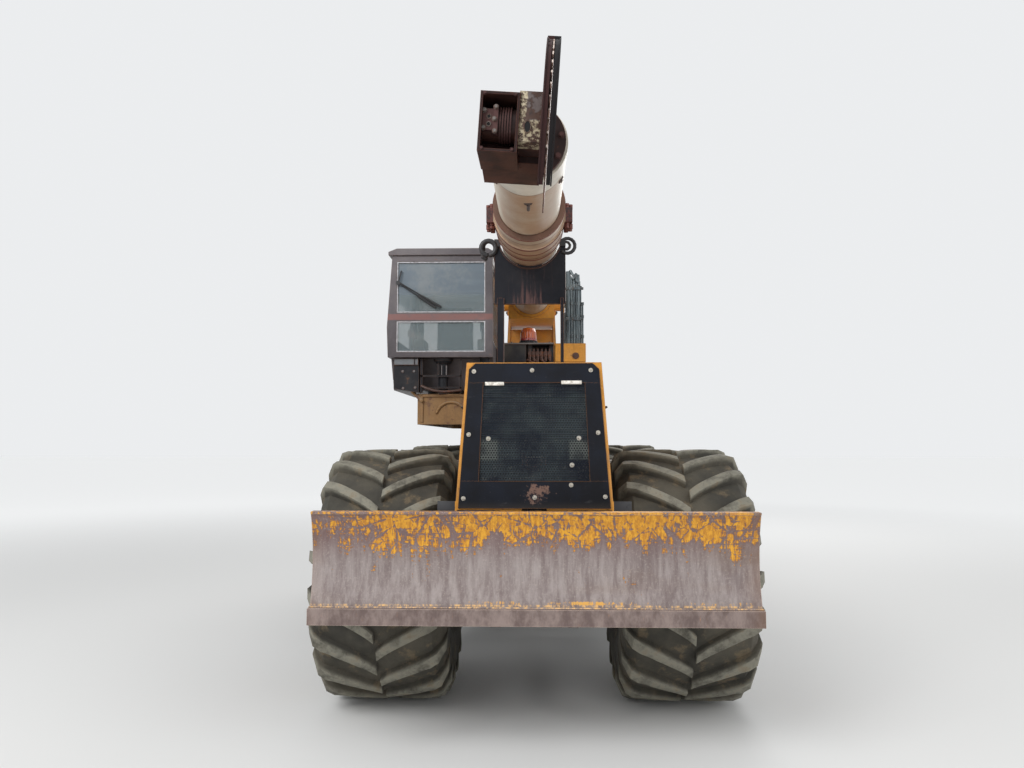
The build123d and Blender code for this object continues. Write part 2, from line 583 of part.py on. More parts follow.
def blade_arms():
    """Two push arms that pass below the front axle, their cross tube and the cylinder's lug."""
    outline = [
        (ARM_PIVOT_Y + 20, ARM_PIVOT_Z - 50), (FRONT_AXLE_Y - 560, ARM_PIVOT_Z - 50),
        (BEAM_BACK_Y, BEAM_Z[0] - 140), (BEAM_BACK_Y, BEAM_Z[1] - 60), (FRONT_AXLE_Y - 780, BEAM_Z[0] - 60),
        (FRONT_AXLE_Y - 480, ARM_PIVOT_Z + 55), (ARM_PIVOT_Y + 20, ARM_PIVOT_Z + 50),
    ]
    arm = side_plate(outline, ARM_X) + round_x(55, ARM_X, y=ARM_PIVOT_Y, z=ARM_PIVOT_Z)
    arm -= round_x(ARM_PIVOT_R + PIN_FIT, (ARM_X[0] - 1, ARM_X[1] + 1), y=ARM_PIVOT_Y, z=ARM_PIVOT_Z)
    tube = round_x(48, (-ARM_X[0] - 2, ARM_X[0] + 2), y=BLADE_LUG_Y, z=BLADE_LUG_Z - 92)
    ear_x = (BLADE_EYE_HALF + MOVE_GAP, BLADE_EYE_HALF + MOVE_GAP + 18)
    ear = block(ear_x, (BLADE_LUG_Y - 40, BLADE_LUG_Y + 40), (BLADE_LUG_Z - 100, BLADE_LUG_Z + 45))
    return fuse(*both_sides(arm), tube, *both_sides(ear))


NODES["blade"] = blade()
NODES["blade_arms"] = blade_arms()


BORE_WALL = 10.0


def cylinder_barrel(length, radius, rod_radius, eye_radius, eye_half, pin_radius):
    """A hydraulic barrel along +Z from its eye at the origin."""
    neck = radius * 0.8
    tube = round_z(radius, (eye_radius * 0.7, length))
    tube -= round_z(radius - BORE_WALL, (eye_radius + 25, length - 30))
    tube -= round_z(rod_radius + SEAT_GAP, (length - 40, length + 1))
    eye = round_x(eye_radius, (-eye_half, eye_half)) + round_z(neck, (0, eye_radius * 0.7 + 5))
    whole = tube + eye
    return whole - round_x(pin_radius + PIN_FIT, (-eye_half - radius, eye_half + radius))


def cylinder_rod(length, start, rod_radius, piston_radius, eye_radius, eye_half):
    """A piston rod along +Z whose eye is at the given length, with its pin flush in the eye."""
    rod = round_z(rod_radius, (start, length))
    piston = round_z(piston_radius, (start, start + 30))
    eye = round_x(eye_radius, (-eye_half, eye_half), z=length)
    return fuse(rod, piston, eye)


def aim(start, end):
    """Placement that points a piece's +Z from one (y, z) point to another."""
    angle = math.degrees(math.atan2(end[0] - start[0], end[1] - start[1]))
    return Pos(0, start[0], start[1]) * Rot(X=-angle)


# Blade cylinder: one short ram between the nose bracket and the arms' cross tube
BLADE_CYL_LENGTH = math.hypot(BLADE_LUG_Y - BLADE_CYL_Y, BLADE_LUG_Z - BLADE_CYL_Z)
blade_cyl_place = aim((BLADE_CYL_Y, BLADE_CYL_Z), (BLADE_LUG_Y, BLADE_LUG_Z))
BLADE_BARREL_R = 40.0
BLADE_ROD_R = 20.0
blade_piston_r = BLADE_BARREL_R - BORE_WALL - SEAT_GAP
blade_barrel = cylinder_barrel(
    BLADE_CYL_LENGTH - 60, BLADE_BARREL_R, BLADE_ROD_R, 38, BLADE_EYE_HALF, BLADE_CYL_PIN_R
)
blade_rod = cylinder_rod(BLADE_CYL_LENGTH, 75, BLADE_ROD_R, blade_piston_r, 34, BLADE_EYE_HALF)
NODES["blade_cylinder_barrel"] = blade_cyl_place * blade_barrel
NODES["blade_cylinder_rod"] = blade_cyl_place * blade_rod

# Turret deck: a skirted plate that carries cab, mast and valve frame on the slewing ring
DECK_TOP = 2010.0
DECK_LEFT = -970.0
DECK_RIGHT = 550.0
DECK_FRONT = SLEW_Y - 1520
DECK_STEP = SLEW_Y - 1050
DECK_BACK = SLEW_Y + 1350
DECK_STEP_X = -60.0


def deck_outline(inset):
    """The deck's plan as (x, y) corners, inset by its skirt."""
    chamfer = 110.0
    left = DECK_LEFT + inset
    right = DECK_RIGHT - inset
    back = DECK_BACK - inset
    return [
        (left, DECK_FRONT + inset), (DECK_STEP_X - inset, DECK_FRONT + inset),
        (DECK_STEP_X - inset, DECK_STEP + inset), (right, DECK_STEP + inset), (right, back - chamfer),
        (right - chamfer, back), (left + chamfer, back), (left, back - chamfer),
    ]


deck = floor_plate(deck_outline(0), (RING_TOP, DECK_TOP))
deck -= floor_plate(deck_outline(14), (RING_TOP - 1, DECK_TOP - 20))
NODES["turret_deck"] = fuse(deck, round_z(480, (RING_TOP, DECK_TOP - 10), y=SLEW_Y))

# Mast: two cheeks that carry the boom's pivot, with a web in front and the lower ram pins
CHEEK_X = (243.0, 273.0)
PIVOT_R = 60.0
LIFT_FOOT_Y = SLEW_Y + 700
LIFT_FOOT_Z = 2130.0
LIFT_EYE_X = (347.0, 397.0)
LIFT_PIN_R = 30.0


def mast():
    """Cheeks, web and pins in the mast's own plane at the boom's centre."""
    outline = [
        (SLEW_Y + 60, DECK_TOP), (DECK_BACK - 20, DECK_TOP), (DECK_BACK + 60, PIVOT_Z - 120),
        (PIVOT_Y + 110, PIVOT_Z + 20), (PIVOT_Y - 110, PIVOT_Z + 20), (SLEW_Y + 620, DECK_TOP + 640),
        (SLEW_Y + 200, DECK_TOP + 260),
    ]
    cheek = side_plate(outline, CHEEK_X) + round_x(130, CHEEK_X, y=PIVOT_Y, z=PIVOT_Z)
    cheek -= round_x(PIVOT_R + PIN_FIT, (CHEEK_X[0] - 1, CHEEK_X[1] + 1), y=PIVOT_Y, z=PIVOT_Z)
    pin = round_x(LIFT_PIN_R, (CHEEK_X[0], LIFT_EYE_X[1] + 12), y=LIFT_FOOT_Y, z=LIFT_FOOT_Z)
    boss = round_x(52, (CHEEK_X[1] - 1, LIFT_EYE_X[0] - 30), y=LIFT_FOOT_Y, z=LIFT_FOOT_Z)
    between = (-CHEEK_X[0] - 1, CHEEK_X[0] + 1)
    web = block(between, (SLEW_Y + 230, SLEW_Y + 250), (DECK_TOP, DECK_TOP + 250))
    back = block(between, (DECK_BACK - 45, DECK_BACK - 25), (DECK_TOP, DECK_TOP + 650))
    return Pos(BOOM_X, 0, 0) * fuse(*both_sides(cheek + pin + boss), web, back)


NODES["mast"] = mast()

# Valve frame with the beacon's shelf, and the hose tower on its bracket beside it
SHELF_Z = 2500.0
SHELF_X = (-330.0, 180.0)
SHELF_Y = (SLEW_Y - 1000, SLEW_Y - 700)
TOWER_X = (190.0, 470.0)
BEACON_R = 77.0
BEACON_Y = (SHELF_Y[0] + SHELF_Y[1]) / 2
SHELF_BOX_Z = SHELF_Z - 170
LEG = 40.0
shelf = block(SHELF_X, SHELF_Y, (SHELF_Z - 15, SHELF_Z))
shelf_box = block((SHELF_X[0], -70), (SHELF_Y[0] + 10, SHELF_Y[1] - 10), (SHELF_BOX_Z, SHELF_Z - 14))
shelf_parts = [shelf, shelf_box]
for x in (-55.0, SHELF_X[1] - LEG):
    for y in (SHELF_Y[0] + 60, SHELF_Y[1] - 50):
        shelf_parts.append(block((x, x + LEG), (y, y + LEG), (DECK_TOP, SHELF_Z - 10)))
box_foot_x = (SHELF_X[0] + 60, SHELF_X[0] + 120)
shelf_parts.append(block(box_foot_x, (SHELF_Y[0] + 60, SHELF_Y[1] - 60), (DECK_TOP, SHELF_BOX_Z + 1)))
NODES["valve_frame"] = fuse(*shelf_parts)
NODES["warning_beacon"] = Pos(-50, BEACON_Y, SHELF_Z) * Rot(X=90) * spun_y([
    (0, 0), (0, BEACON_R + 8), (28, BEACON_R + 8), (30, BEACON_R), (115, BEACON_R - 6), (150, BEACON_R - 22),
    (168, 0),
])
bracket = block(TOWER_X, (SHELF_Y[0] + 40, SHELF_Y[1] - 60), (SHELF_BOX_Z, SHELF_Z))
bracket_foot_x = (TOWER_X[0] + 60, TOWER_X[1] - 40)
bracket += block(bracket_foot_x, (SHELF_Y[0] + 80, SHELF_Y[1] - 100), (DECK_TOP, SHELF_BOX_Z + 1))
NODES["tower_bracket"] = bracket
TOWER_LINES = (  # x, radius, length
    (320.0, 24.0, 680.0),
    (372.0, 17.0, 620.0),
    (410.0, 15.0, 650.0),
)
tower = [round_z(r, (SHELF_Z, SHELF_Z + length), x=x, y=BEACON_Y) for x, r, length in TOWER_LINES]
clip_x = (TOWER_LINES[0][0] - 20, TOWER_LINES[2][0] + 15)
for rise in (120.0, 360.0, 580.0):
    z = SHELF_Z + rise
    tower.append(block(clip_x, (BEACON_Y - 12, BEACON_Y + 12), (z, z + LEG)))
NODES["hose_tower"] = fuse(*tower)

# Cab: a framed box with a slanted foot well, its roof, panes, door, seat and controls
CAB_X = (-1220.0, -340.0)
CAB_Y = (SLEW_Y - 1600, SLEW_Y - 200)
CAB_FLOOR = 2050.0
CAB_SILL = 2310.0
CAB_TOP = 3160.0
CAB_WALL = 40.0
PANE = 6.0
DOOR_Y = (CAB_Y[0] + 130, CAB_Y[1] - 200)
DOOR_Z = (2130.0, 3100.0)


def cab_solid(inset):
    """The cab's outer form, or its hollow, as the common part of two profiles."""
    low = CAB_FLOOR + inset
    top = CAB_TOP + (10 if inset else 0)
    side = side_plate([
        (CAB_Y[0] + inset, CAB_SILL + inset), (CAB_Y[0] + 170 + inset, CAB_SILL + inset),
        (CAB_Y[0] + 250 + inset, low), (CAB_Y[1] - inset, low), (CAB_Y[1] - inset, top), (CAB_Y[0] + inset, top),
    ], CAB_X)
    front = front_plate([
        (CAB_X[0] + 20 + inset, CAB_FLOOR), (CAB_X[1] - inset, CAB_FLOOR), (CAB_X[1] - inset, top),
        (CAB_X[0] + 40 + inset, top), (CAB_X[0] + inset, 2560.0),
    ], CAB_Y)
    return side & front


PANE_DEPTH = 15.0
FRONT_PANE = (CAB_Y[0] + PANE_DEPTH, CAB_Y[0] + PANE_DEPTH + PANE)
SIDE_PANE = (CAB_X[1] - PANE_DEPTH - PANE, CAB_X[1] - PANE_DEPTH)
BACK_PANE = (CAB_Y[1] - PANE_DEPTH - PANE, CAB_Y[1] - PANE_DEPTH)
FRONT_WALL = (CAB_Y[0] - 5, CAB_Y[0] + CAB_WALL + 5)
SIDE_WALL = (CAB_X[1] - CAB_WALL - 5, CAB_X[1] + 5)
BACK_WALL = (CAB_Y[1] - CAB_WALL - 5, CAB_Y[1] + 5)
HEADER = CAB_TOP - 50
MID_RAIL = (CAB_SILL + 300, CAB_SILL + 370)
CAB_HOLES = (  # x, y, z limits of the opening, then the wall's axis and the pane's limits on it
    ((CAB_X[0] + 80, CAB_X[1] - 60), FRONT_WALL, (MID_RAIL[1], HEADER), 1, FRONT_PANE),
    ((CAB_X[0] + 80, CAB_X[1] - 60), FRONT_WALL, (CAB_SILL + 42, MID_RAIL[0]), 1, FRONT_PANE),
    (SIDE_WALL, (CAB_Y[0] + 90, CAB_Y[1] - 90), (CAB_SILL + 140, HEADER - 10), 0, SIDE_PANE),
    ((CAB_X[0] + 110, CAB_X[1] - 80), BACK_WALL, (CAB_SILL + 190, HEADER - 10), 1, BACK_PANE),
)
CAB_OUTER = cab_solid(0)
CAB_INNER = cab_solid(CAB_WALL)
DOOR_SKIN_X = (CAB_X[0] - 10, CAB_X[0] + 100)
DOOR_BORDER = 70.0
DOOR_PANE_Z = (DOOR_Z[0] + 350, DOOR_Z[1] - 60)
DOOR_BOX = block(DOOR_SKIN_X, DOOR_Y, DOOR_Z)
DOOR_WINDOW = block(DOOR_SKIN_X, (DOOR_Y[0] + DOOR_BORDER, DOOR_Y[1] - DOOR_BORDER), DOOR_PANE_Z)
CAB_SKIN = CAB_OUTER - CAB_INNER
shell = CAB_SKIN - DOOR_BOX
panes = []
for x, y, z, wall_axis, pane_span in CAB_HOLES:
    shell -= block(x, y, z)
    limits = [(low + SEAT_GAP, high - SEAT_GAP) for low, high in (x, y, z)]
    limits[wall_axis] = pane_span
    panes.append(block(*limits))
NODES["cab_shell"] = shell
NODES["cab_glazing"] = Compound(children=panes)
ROOF_EDGE = 30.0
ROOF_RISE = 58.0
NODES["cab_roof"] = front_plate([
    (CAB_X[0] + 10, CAB_TOP), (CAB_X[1] + 10, CAB_TOP), (CAB_X[1] + 10, CAB_TOP + ROOF_EDGE),
    (CAB_X[1] - 40, CAB_TOP + ROOF_RISE), (CAB_X[0] + 80, CAB_TOP + ROOF_RISE), (CAB_X[0] + 10, CAB_TOP + ROOF_EDGE),
], (CAB_Y[0] - 20, CAB_Y[1] + 10))

# Door: the part of the cab's skin inside the door opening, hinged at its back edge
DOOR_AXIS_X = CAB_X[0] - 14
DOOR_AXIS_Y = DOOR_Y[1]
HINGE_R = 10.0
HINGE_HEIGHT = 60.0
leaf_y = (DOOR_Y[0] + MOVE_GAP, DOOR_Y[1] - MOVE_GAP)
leaf_z = (DOOR_Z[0] + MOVE_GAP, DOOR_Z[1] - MOVE_GAP)
door_parts = [(CAB_SKIN & block(DOOR_SKIN_X, leaf_y, leaf_z)) - DOOR_WINDOW]
for low in (DOOR_Z[0] + 190, DOOR_Z[0] + 510):
    z = (low, low + HINGE_HEIGHT)
    door_parts.append(round_z(HINGE_R, z, x=DOOR_AXIS_X, y=DOOR_AXIS_Y))
    door_parts.append(block((DOOR_AXIS_X, DOOR_AXIS_X + 26), (DOOR_AXIS_Y - 45, DOOR_AXIS_Y), z))
NODES["cab_door"] = fuse(*door_parts)
mid_skin = Pos(12, 0, 0) * CAB_OUTER - Pos(12 + PANE, 0, 0) * CAB_OUTER
pane_y = (DOOR_Y[0] + DOOR_BORDER + SEAT_GAP, DOOR_Y[1] - DOOR_BORDER - SEAT_GAP)
pane_z = (DOOR_PANE_Z[0] + SEAT_GAP, DOOR_PANE_Z[1] - SEAT_GAP)
NODES["door_glass"] = mid_skin & block(DOOR_SKIN_X, pane_y, pane_z)

# Seat and controls
SEAT_X = (CAB_X[0] + 215, CAB_X[1] - 205)
SEAT_Y = (CAB_Y[0] + 780, CAB_Y[0] + 1240)
CUSHION_Z = (2340.0, 2440.0)
BACK_HEIGHT = 520.0
CONSOLE_TOP = 2560.0
LEVER_HEIGHT = 170.0
FLOOR_TOP = CAB_FLOOR + CAB_WALL
cushion = chamfer(block(SEAT_X, SEAT_Y, CUSHION_Z).edges().filter_by(Axis.Z), 40)
back_box = block(SEAT_X, (SEAT_Y[1] - 60, SEAT_Y[1] + 50), (CUSHION_Z[1] - 10, CUSHION_Z[1] + BACK_HEIGHT))
back_rest = chamfer(back_box.edges().filter_by(Axis.Y), 60)
pedestal_x = (SEAT_X[0] + 90, SEAT_X[1] - 90)
pedestal = block(pedestal_x, (SEAT_Y[0] + 60, SEAT_Y[1] - 60), (FLOOR_TOP, CUSHION_Z[0] + 5))
NODES["operator_seat"] = fuse(cushion, back_rest, pedestal)
consoles = []
for x in ((SEAT_X[0] - 110, SEAT_X[0] - 20), (SEAT_X[1] + 20, SEAT_X[1] + 110)):
    middle = (x[0] + x[1]) / 2
    lever_y = SEAT_Y[0] + 70
    consoles.append(fuse(
        block(x, (SEAT_Y[0] + 20, SEAT_Y[0] + 330), (FLOOR_TOP, CONSOLE_TOP)),
        round_z(12, (CONSOLE_TOP - 1, CONSOLE_TOP + 90), x=middle, y=lever_y),
        round_z(24, (CONSOLE_TOP + 80, CONSOLE_TOP + LEVER_HEIGHT), x=middle, y=lever_y),
    ))
NODES["cab_controls"] = Compound(children=consoles)
CAB_MOUNTS = (  # x, y, radius, top
    (-760.0, CAB_Y[0] + 110, 42.0, CAB_SILL),
    (CAB_X[1] - 70, CAB_Y[0] + 110, 42.0, CAB_SILL),
    (-880.0, CAB_Y[1] - 120, 50.0, CAB_FLOOR),
    (CAB_X[1] - 90, CAB_Y[1] - 120, 50.0, CAB_FLOOR),
    (-880.0, CAB_Y[0] + 420, 50.0, CAB_FLOOR),
    (CAB_X[1] - 90, CAB_Y[0] + 420, 50.0, CAB_FLOOR),
)
NODES["cab_mounts"] = Compound(children=[round_z(r, (DECK_TOP, top), x=x, y=y) for x, y, r, top in CAB_MOUNTS])

# Boom: modelled along its own axis with the pivot at the origin and the head towards -Y
BOOM = Pos(BOOM_X, PIVOT_Y, PIVOT_Z) * Rot(X=BOOM_RISE)
BASE_HALF = 235.0
BASE_FRONT = 1350.0
BASE_BACK = 350.0
BASE_WALL = 15.0
OUTER_START = 155.0
OUTER_END = 4635.0
OUTER_BORE = 184.0
MID_START = OUTER_START + 30
MID_TUBE_R = 181.0
MID_BORE = 172.0
MID_END = 5055.0
TIP_TUBE_R = 170.0
TIP_WALL = 9.0
TIP_START = MID_START + 30
TIP_END = SAW_REACH - HEAD_LENGTH
COLLAR_R = 206.0
COLLAR_LENGTH = 160.0
CLAMP_LENGTH = 190.0
WEAR_PAD = 100.0
LIFT_REACH = 600.0


def boom_base():
    """Box weldment round the tube's root, with pivot tube and ram bosses."""
    outer = side_plate([
        (-BASE_FRONT, -BASE_HALF), (60, -BASE_HALF), (BASE_BACK, -110), (BASE_BACK, 140), (180, BASE_HALF),
        (-BASE_FRONT, BASE_HALF),
    ], (-BASE_HALF, BASE_HALF))
    hollow = (-BASE_HALF + BASE_WALL, BASE_HALF - BASE_WALL)
    saddle = (-BASE_HALF + 5, BASE_HALF - 5)
    whole = outer - block(hollow, (-BASE_FRONT + 25, -120), hollow)
    whole += block(saddle, (-OUTER_START - 60, -OUTER_START - 35), saddle)
    whole -= round_y(OUTER_TUBE_R + SEAT_GAP, (-BASE_FRONT - 1, -OUTER_START + 5))
    pin = round_x(PIVOT_R, (-CHEEK_X[1] - 15, CHEEK_X[1] + 15))
    bosses = both_sides(round_x(75, (BASE_HALF - 1, LIFT_EYE_X[0] - 9), y=-LIFT_REACH))
    ring = round_y(OUTER_TUBE_R + 28, (-BASE_FRONT - 30, -BASE_FRONT + 1))
    ring -= round_y(OUTER_TUBE_R + SEAT_GAP, (-BASE_FRONT - 31, -BASE_FRONT + 2))
    return fuse(whole, pin, *bosses, ring)


def tube(radius, bore, rear, front):
    """A plain tube of the boom between two reaches."""
    return round_y(radius, (-front, -rear)) - round_y(bore, (-front - 1, -rear + 1))


outer_tube = tube(OUTER_TUBE_R, OUTER_BORE, OUTER_START, OUTER_END - 20)
outer_tube += tube(COLLAR_R, MID_TUBE_R + SEAT_GAP, OUTER_END - COLLAR_LENGTH, OUTER_END)
mid_tube = tube(MID_TUBE_R, MID_BORE, MID_START, MID_END - 20)
mid_tube += tube(OUTER_BORE - SEAT_GAP, MID_BORE, MID_START, MID_START + WEAR_PAD)
mid_tube += tube(COLLAR_R + 2, TIP_TUBE_R + SEAT_GAP, OUTER_END + MOVE_GAP, OUTER_END + CLAMP_LENGTH)
mid_tube += tube(COLLAR_R - 7, TIP_TUBE_R + SEAT_GAP, OUTER_END + CLAMP_LENGTH - MOVE_GAP, MID_END)
clamp_ear = block((TIP_TUBE_R + 25, COLLAR_R + 44), (-OUTER_END - CLAMP_LENGTH, -OUTER_END - 10), (-42, 42))
mid_tube = fuse(mid_tube, *both_sides(clamp_ear))
tip_tube = tube(TIP_TUBE_R, TIP_TUBE_R - TIP_WALL, TIP_START, TIP_END)
tip_tube += tube(MID_BORE - SEAT_GAP, TIP_TUBE_R - TIP_WALL - 1, TIP_START, TIP_START + WEAR_PAD)
tip_tube += tube(TIP_TUBE_R - 4, 60, TIP_END - 20, TIP_END)
NODES["boom_base"] = BOOM * boom_base()
NODES["outer_tube"] = BOOM * outer_tube
NODES["mid_tube"] = BOOM * mid_tube
NODES["tip_tube"] = BOOM * tip_tube

# Lift rams: one on each side of the boom, between the mast's cheeks and the boom's bosses
lift_eye = (BOOM * Pos(0, -LIFT_REACH, 0)).position
LIFT_LENGTH = math.hypot(lift_eye.Y - LIFT_FOOT_Y, lift_eye.Z - LIFT_FOOT_Z)
lift_place = aim((LIFT_FOOT_Y, LIFT_FOOT_Z), (lift_eye.Y, lift_eye.Z))
lift_x = (LIFT_EYE_X[0] + LIFT_EYE_X[1]) / 2
lift_half = (LIFT_EYE_X[1] - LIFT_EYE_X[0]) / 2
LIFT_BARREL_R = 48.0
LIFT_ROD_R = 25.0
barrel = lift_place * cylinder_barrel(LIFT_LENGTH - 100, LIFT_BARREL_R, LIFT_ROD_R, 55, lift_half, LIFT_PIN_R)
lift_piston_r = LIFT_BARREL_R - BORE_WALL - SEAT_GAP
rod = lift_place * cylinder_rod(LIFT_LENGTH, 92, LIFT_ROD_R, lift_piston_r, 48, lift_half)
NODES["lift_barrels"] = Compound(children=[Pos(BOOM_X + side * lift_x, 0, 0) * barrel for side in (-1, 1)])
NODES["lift_rods"] = Compound(children=[Pos(BOOM_X + side * lift_x, 0, 0) * rod for side in (-1, 1)])

# Saw head: flange, neck, open motor housing and bearing block, rolled a little about the boom's axis
HEAD_LEAN = 4.0
HEAD = BOOM * Rot(Y=HEAD_LEAN)
HEAD_START = TIP_END + SEAT_GAP
HEAD_FLANGE_R = 160.0
HEAD_FLANGE = 30.0
SAW_PLANE = 85.0
SAW_THICK = 5.0
HOUSING_X = (-166.0, -22.0)
HOUSING_Z = (-189.0, 28.0)
HOUSING_BACK = 138.0
HOUSING_FRONT = 92.0
HOUSING_WALL = 10.0
HOUSING_FLOOR = 70.0
BEARING_X = (-25.0, SAW_PLANE - 25)
BEARING_Z = (-146.0, 38.0)
BEARING_BACK = 93.0
BEARING_FRONT = 82.0
MOTOR_R = 62.0
PORT_HALF = 30.0
ARBOR_R = 20.0
WASHER_R = 62.0
TEETH = 40
GUARD_SHEET = 5.0
GUARD_BAND = 62.0
GUARD_X = (BEARING_X[1], SAW_PLANE + 25)
ARBOR = Pos(0, -SAW_REACH, -SAW_DROP)


def saw_head():
    """Everything of the head that doesn't turn with the disc, along the boom's axis."""
    back = -SAW_REACH + HOUSING_BACK
    middle_x = (HOUSING_X[0] + BEARING_X[1]) / 2
    width = BEARING_X[1] - HOUSING_X[0]
    flange = round_y(HEAD_FLANGE_R, (-HEAD_START - HEAD_FLANGE, -HEAD_START))
    root = Pos(middle_x, -HEAD_START - HEAD_FLANGE + 1, -70) * Rot(X=90) * Rectangle(width, 230)
    mouth = Pos(middle_x, back - 60, -80) * Rot(X=90) * Rectangle(width - 4, 190)
    housing = block(HOUSING_X, (-SAW_REACH - HOUSING_FRONT, back), HOUSING_Z)
    housing -= block((HOUSING_X[0] + HOUSING_WALL, HOUSING_X[1] - HOUSING_WALL),
                     (-SAW_REACH - HOUSING_FRONT - 1, back - HOUSING_FLOOR),
                     (HOUSING_Z[0] + HOUSING_WALL, HOUSING_Z[1] - HOUSING_WALL))
    bearing = block(BEARING_X, (-SAW_REACH - BEARING_FRONT, -SAW_REACH + BEARING_BACK), BEARING_Z)
    whole = fuse(flange, loft([root, mouth], ruled=True), housing, bearing)
    return whole - ARBOR * round_x(ARBOR_R + PIN_FIT, (HOUSING_X[1] - HOUSING_WALL - 2, BEARING_X[1] + 1))


def saw_motor():
    """The motor between the housing's cheeks, with its port block on the housing's floor."""
    inside = (HOUSING_X[0] + HOUSING_WALL + SEAT_GAP, HOUSING_X[1] - HOUSING_WALL - SEAT_GAP)
    can = round_x(MOTOR_R, inside)
    depth = (0, HOUSING_BACK - HOUSING_FLOOR - SEAT_GAP)
    ports = block((inside[0] + 20, inside[1] - 20), depth, (-PORT_HALF, PORT_HALF))
    return ARBOR * fuse(can, ports)


def saw_disc():
    """Toothed disc with its arbor and clamping washers."""
    corners = []
    for k in range(TEETH):
        for share, radius in ((0.0, SAW_R), (0.35, SAW_R - 3), (0.6, SAW_R - 16)):
            angle = math.radians(360 * (k + share) / TEETH)
            corners.append((radius * math.cos(angle), radius * math.sin(angle)))
    disc = side_plate(corners, (SAW_PLANE - SAW_THICK / 2, SAW_PLANE + SAW_THICK / 2))
    arbor = round_x(ARBOR_R, (HOUSING_X[1] - HOUSING_WALL + SEAT_GAP, SAW_PLANE + 18))
    washers = round_x(WASHER_R, (SAW_PLANE - 14, SAW_PLANE + 12))
    return ARBOR * fuse(disc, arbor, washers)


def saw_guard():
    """Two side bands from the disc's back round its top and front, joined over the top by a channel."""
    sides = ((GUARD_X[0], GUARD_X[0] + GUARD_SHEET), (GUARD_X[1] - GUARD_SHEET, GUARD_X[1]))
    reach = 2 * GUARD_R
    sweep = [
        (0, 0), (-reach * 0.65, -reach), (-reach, -reach), (-reach, reach), (reach, reach), (reach, reach * 0.35),
    ]
    roof = [(0, 0), (-reach * 0.12, reach), (reach, reach), (reach, reach * 0.35)]
    channel_r = GUARD_R + 22
    channel = round_x(channel_r, GUARD_X) - round_x(SAW_R + 7, (sides[0][1], sides[1][0]))
    channel -= round_x(GUARD_R - GUARD_BAND, (GUARD_X[0] - 1, GUARD_X[1] + 1))
    guard = channel & side_plate(roof, (GUARD_X[0] - 1, GUARD_X[1] + 1))
    for x in sides:
        wide = (x[0] - 1, x[1] + 1)
        band = round_x(GUARD_R, x) - round_x(GUARD_R - GUARD_BAND, wide)
        guard += band & side_plate(sweep, wide)
    arm = side_plate([(-60, 60), (60, 60), (150, GUARD_R - 65), (-150, GUARD_R - 65)], sides[0])
    return ARBOR * fuse(guard, arm)


NODES["saw_head"] = HEAD * saw_head()
NODES["saw_motor"] = HEAD * saw_motor()
NODES["saw_disc"] = HEAD * saw_disc()
NODES["saw_guard"] = HEAD * saw_guard()

# Write one file for each sub-part
os.makedirs("parts", exist_ok=True)
for node, shape in NODES.items():
    export_step(shape, "parts/" + node + ".step")
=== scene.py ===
import math

import bmesh
import bpy
from mathutils import Matrix, Vector


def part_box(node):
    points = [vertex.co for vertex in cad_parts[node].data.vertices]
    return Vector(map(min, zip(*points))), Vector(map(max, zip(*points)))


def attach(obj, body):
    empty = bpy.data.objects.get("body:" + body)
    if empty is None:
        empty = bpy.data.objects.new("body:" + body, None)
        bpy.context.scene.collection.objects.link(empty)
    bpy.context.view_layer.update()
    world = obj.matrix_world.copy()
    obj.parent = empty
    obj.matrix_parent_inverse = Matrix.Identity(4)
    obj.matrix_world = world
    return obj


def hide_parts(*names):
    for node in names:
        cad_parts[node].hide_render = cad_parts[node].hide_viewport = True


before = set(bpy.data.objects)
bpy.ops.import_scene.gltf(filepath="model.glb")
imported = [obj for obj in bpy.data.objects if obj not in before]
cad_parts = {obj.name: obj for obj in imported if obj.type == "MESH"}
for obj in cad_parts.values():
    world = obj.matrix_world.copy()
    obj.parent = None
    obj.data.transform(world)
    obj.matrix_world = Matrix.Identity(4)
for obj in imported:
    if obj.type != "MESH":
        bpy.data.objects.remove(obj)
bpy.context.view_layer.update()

# Viewpoint: someone stands a few steps before the machine, near its centre line, and looks slightly up
# and to the left through a wide lens, so that the saw looms over the rest.
tyre_low, tyre_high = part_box("tyre_front_left")
front_axle_y = (tyre_low.y + tyre_high.y) / 2
EYE_BEFORE_AXLE = 5.10
EYE_HEIGHT = 1.645
camera = bpy.data.objects.new("camera", bpy.data.cameras.new("camera"))
bpy.context.scene.collection.objects.link(camera)
camera.data.sensor_width = 36.0
camera.data.lens = 27.04
camera.location = (0.0, front_axle_y - EYE_BEFORE_AXLE, EYE_HEIGHT)
camera.rotation_euler = (math.radians(94.0), 0.0, math.radians(1.64))
camera.data.clip_end = 200.0
bpy.context.scene.camera = camera
bpy.context.scene.view_settings.view_transform = "Standard"


class Socket:
    """One output of a material's nodes. Python's operators on it add Math nodes."""

    def __init__(self, finish, output):
        self.finish = finish
        self.output = output

    def math(self, operation, *others):
        return self.finish.node("ShaderNodeMath", {"operation": operation}, [self, *others])

    def __add__(self, other):
        return self.math("ADD", other)

    def __mul__(self, other):
        return self.math("MULTIPLY", other)

    def __sub__(self, other):
        return self.math("SUBTRACT", other)

    def __rsub__(self, other):
        return self.finish.node("ShaderNodeMath", {"operation": "SUBTRACT"}, [other, self])

    __radd__ = __add__
    __rmul__ = __mul__

    def most(self, other):
        return self.math("MAXIMUM", other)

    def size(self):
        return self.math("ABSOLUTE")

    def step(self, low, high):
        """0 at low, 1 at high and smooth between them."""
        values = {"Value": self, "From Min": low, "From Max": high}
        return self.finish.node("ShaderNodeMapRange", {"interpolation_type": "SMOOTHSTEP"}, values)

    def band(self, middle, half, soft):
        """1 within half of the middle, fading out over the soft width."""
        return (self - middle).size().step(half + soft, half)


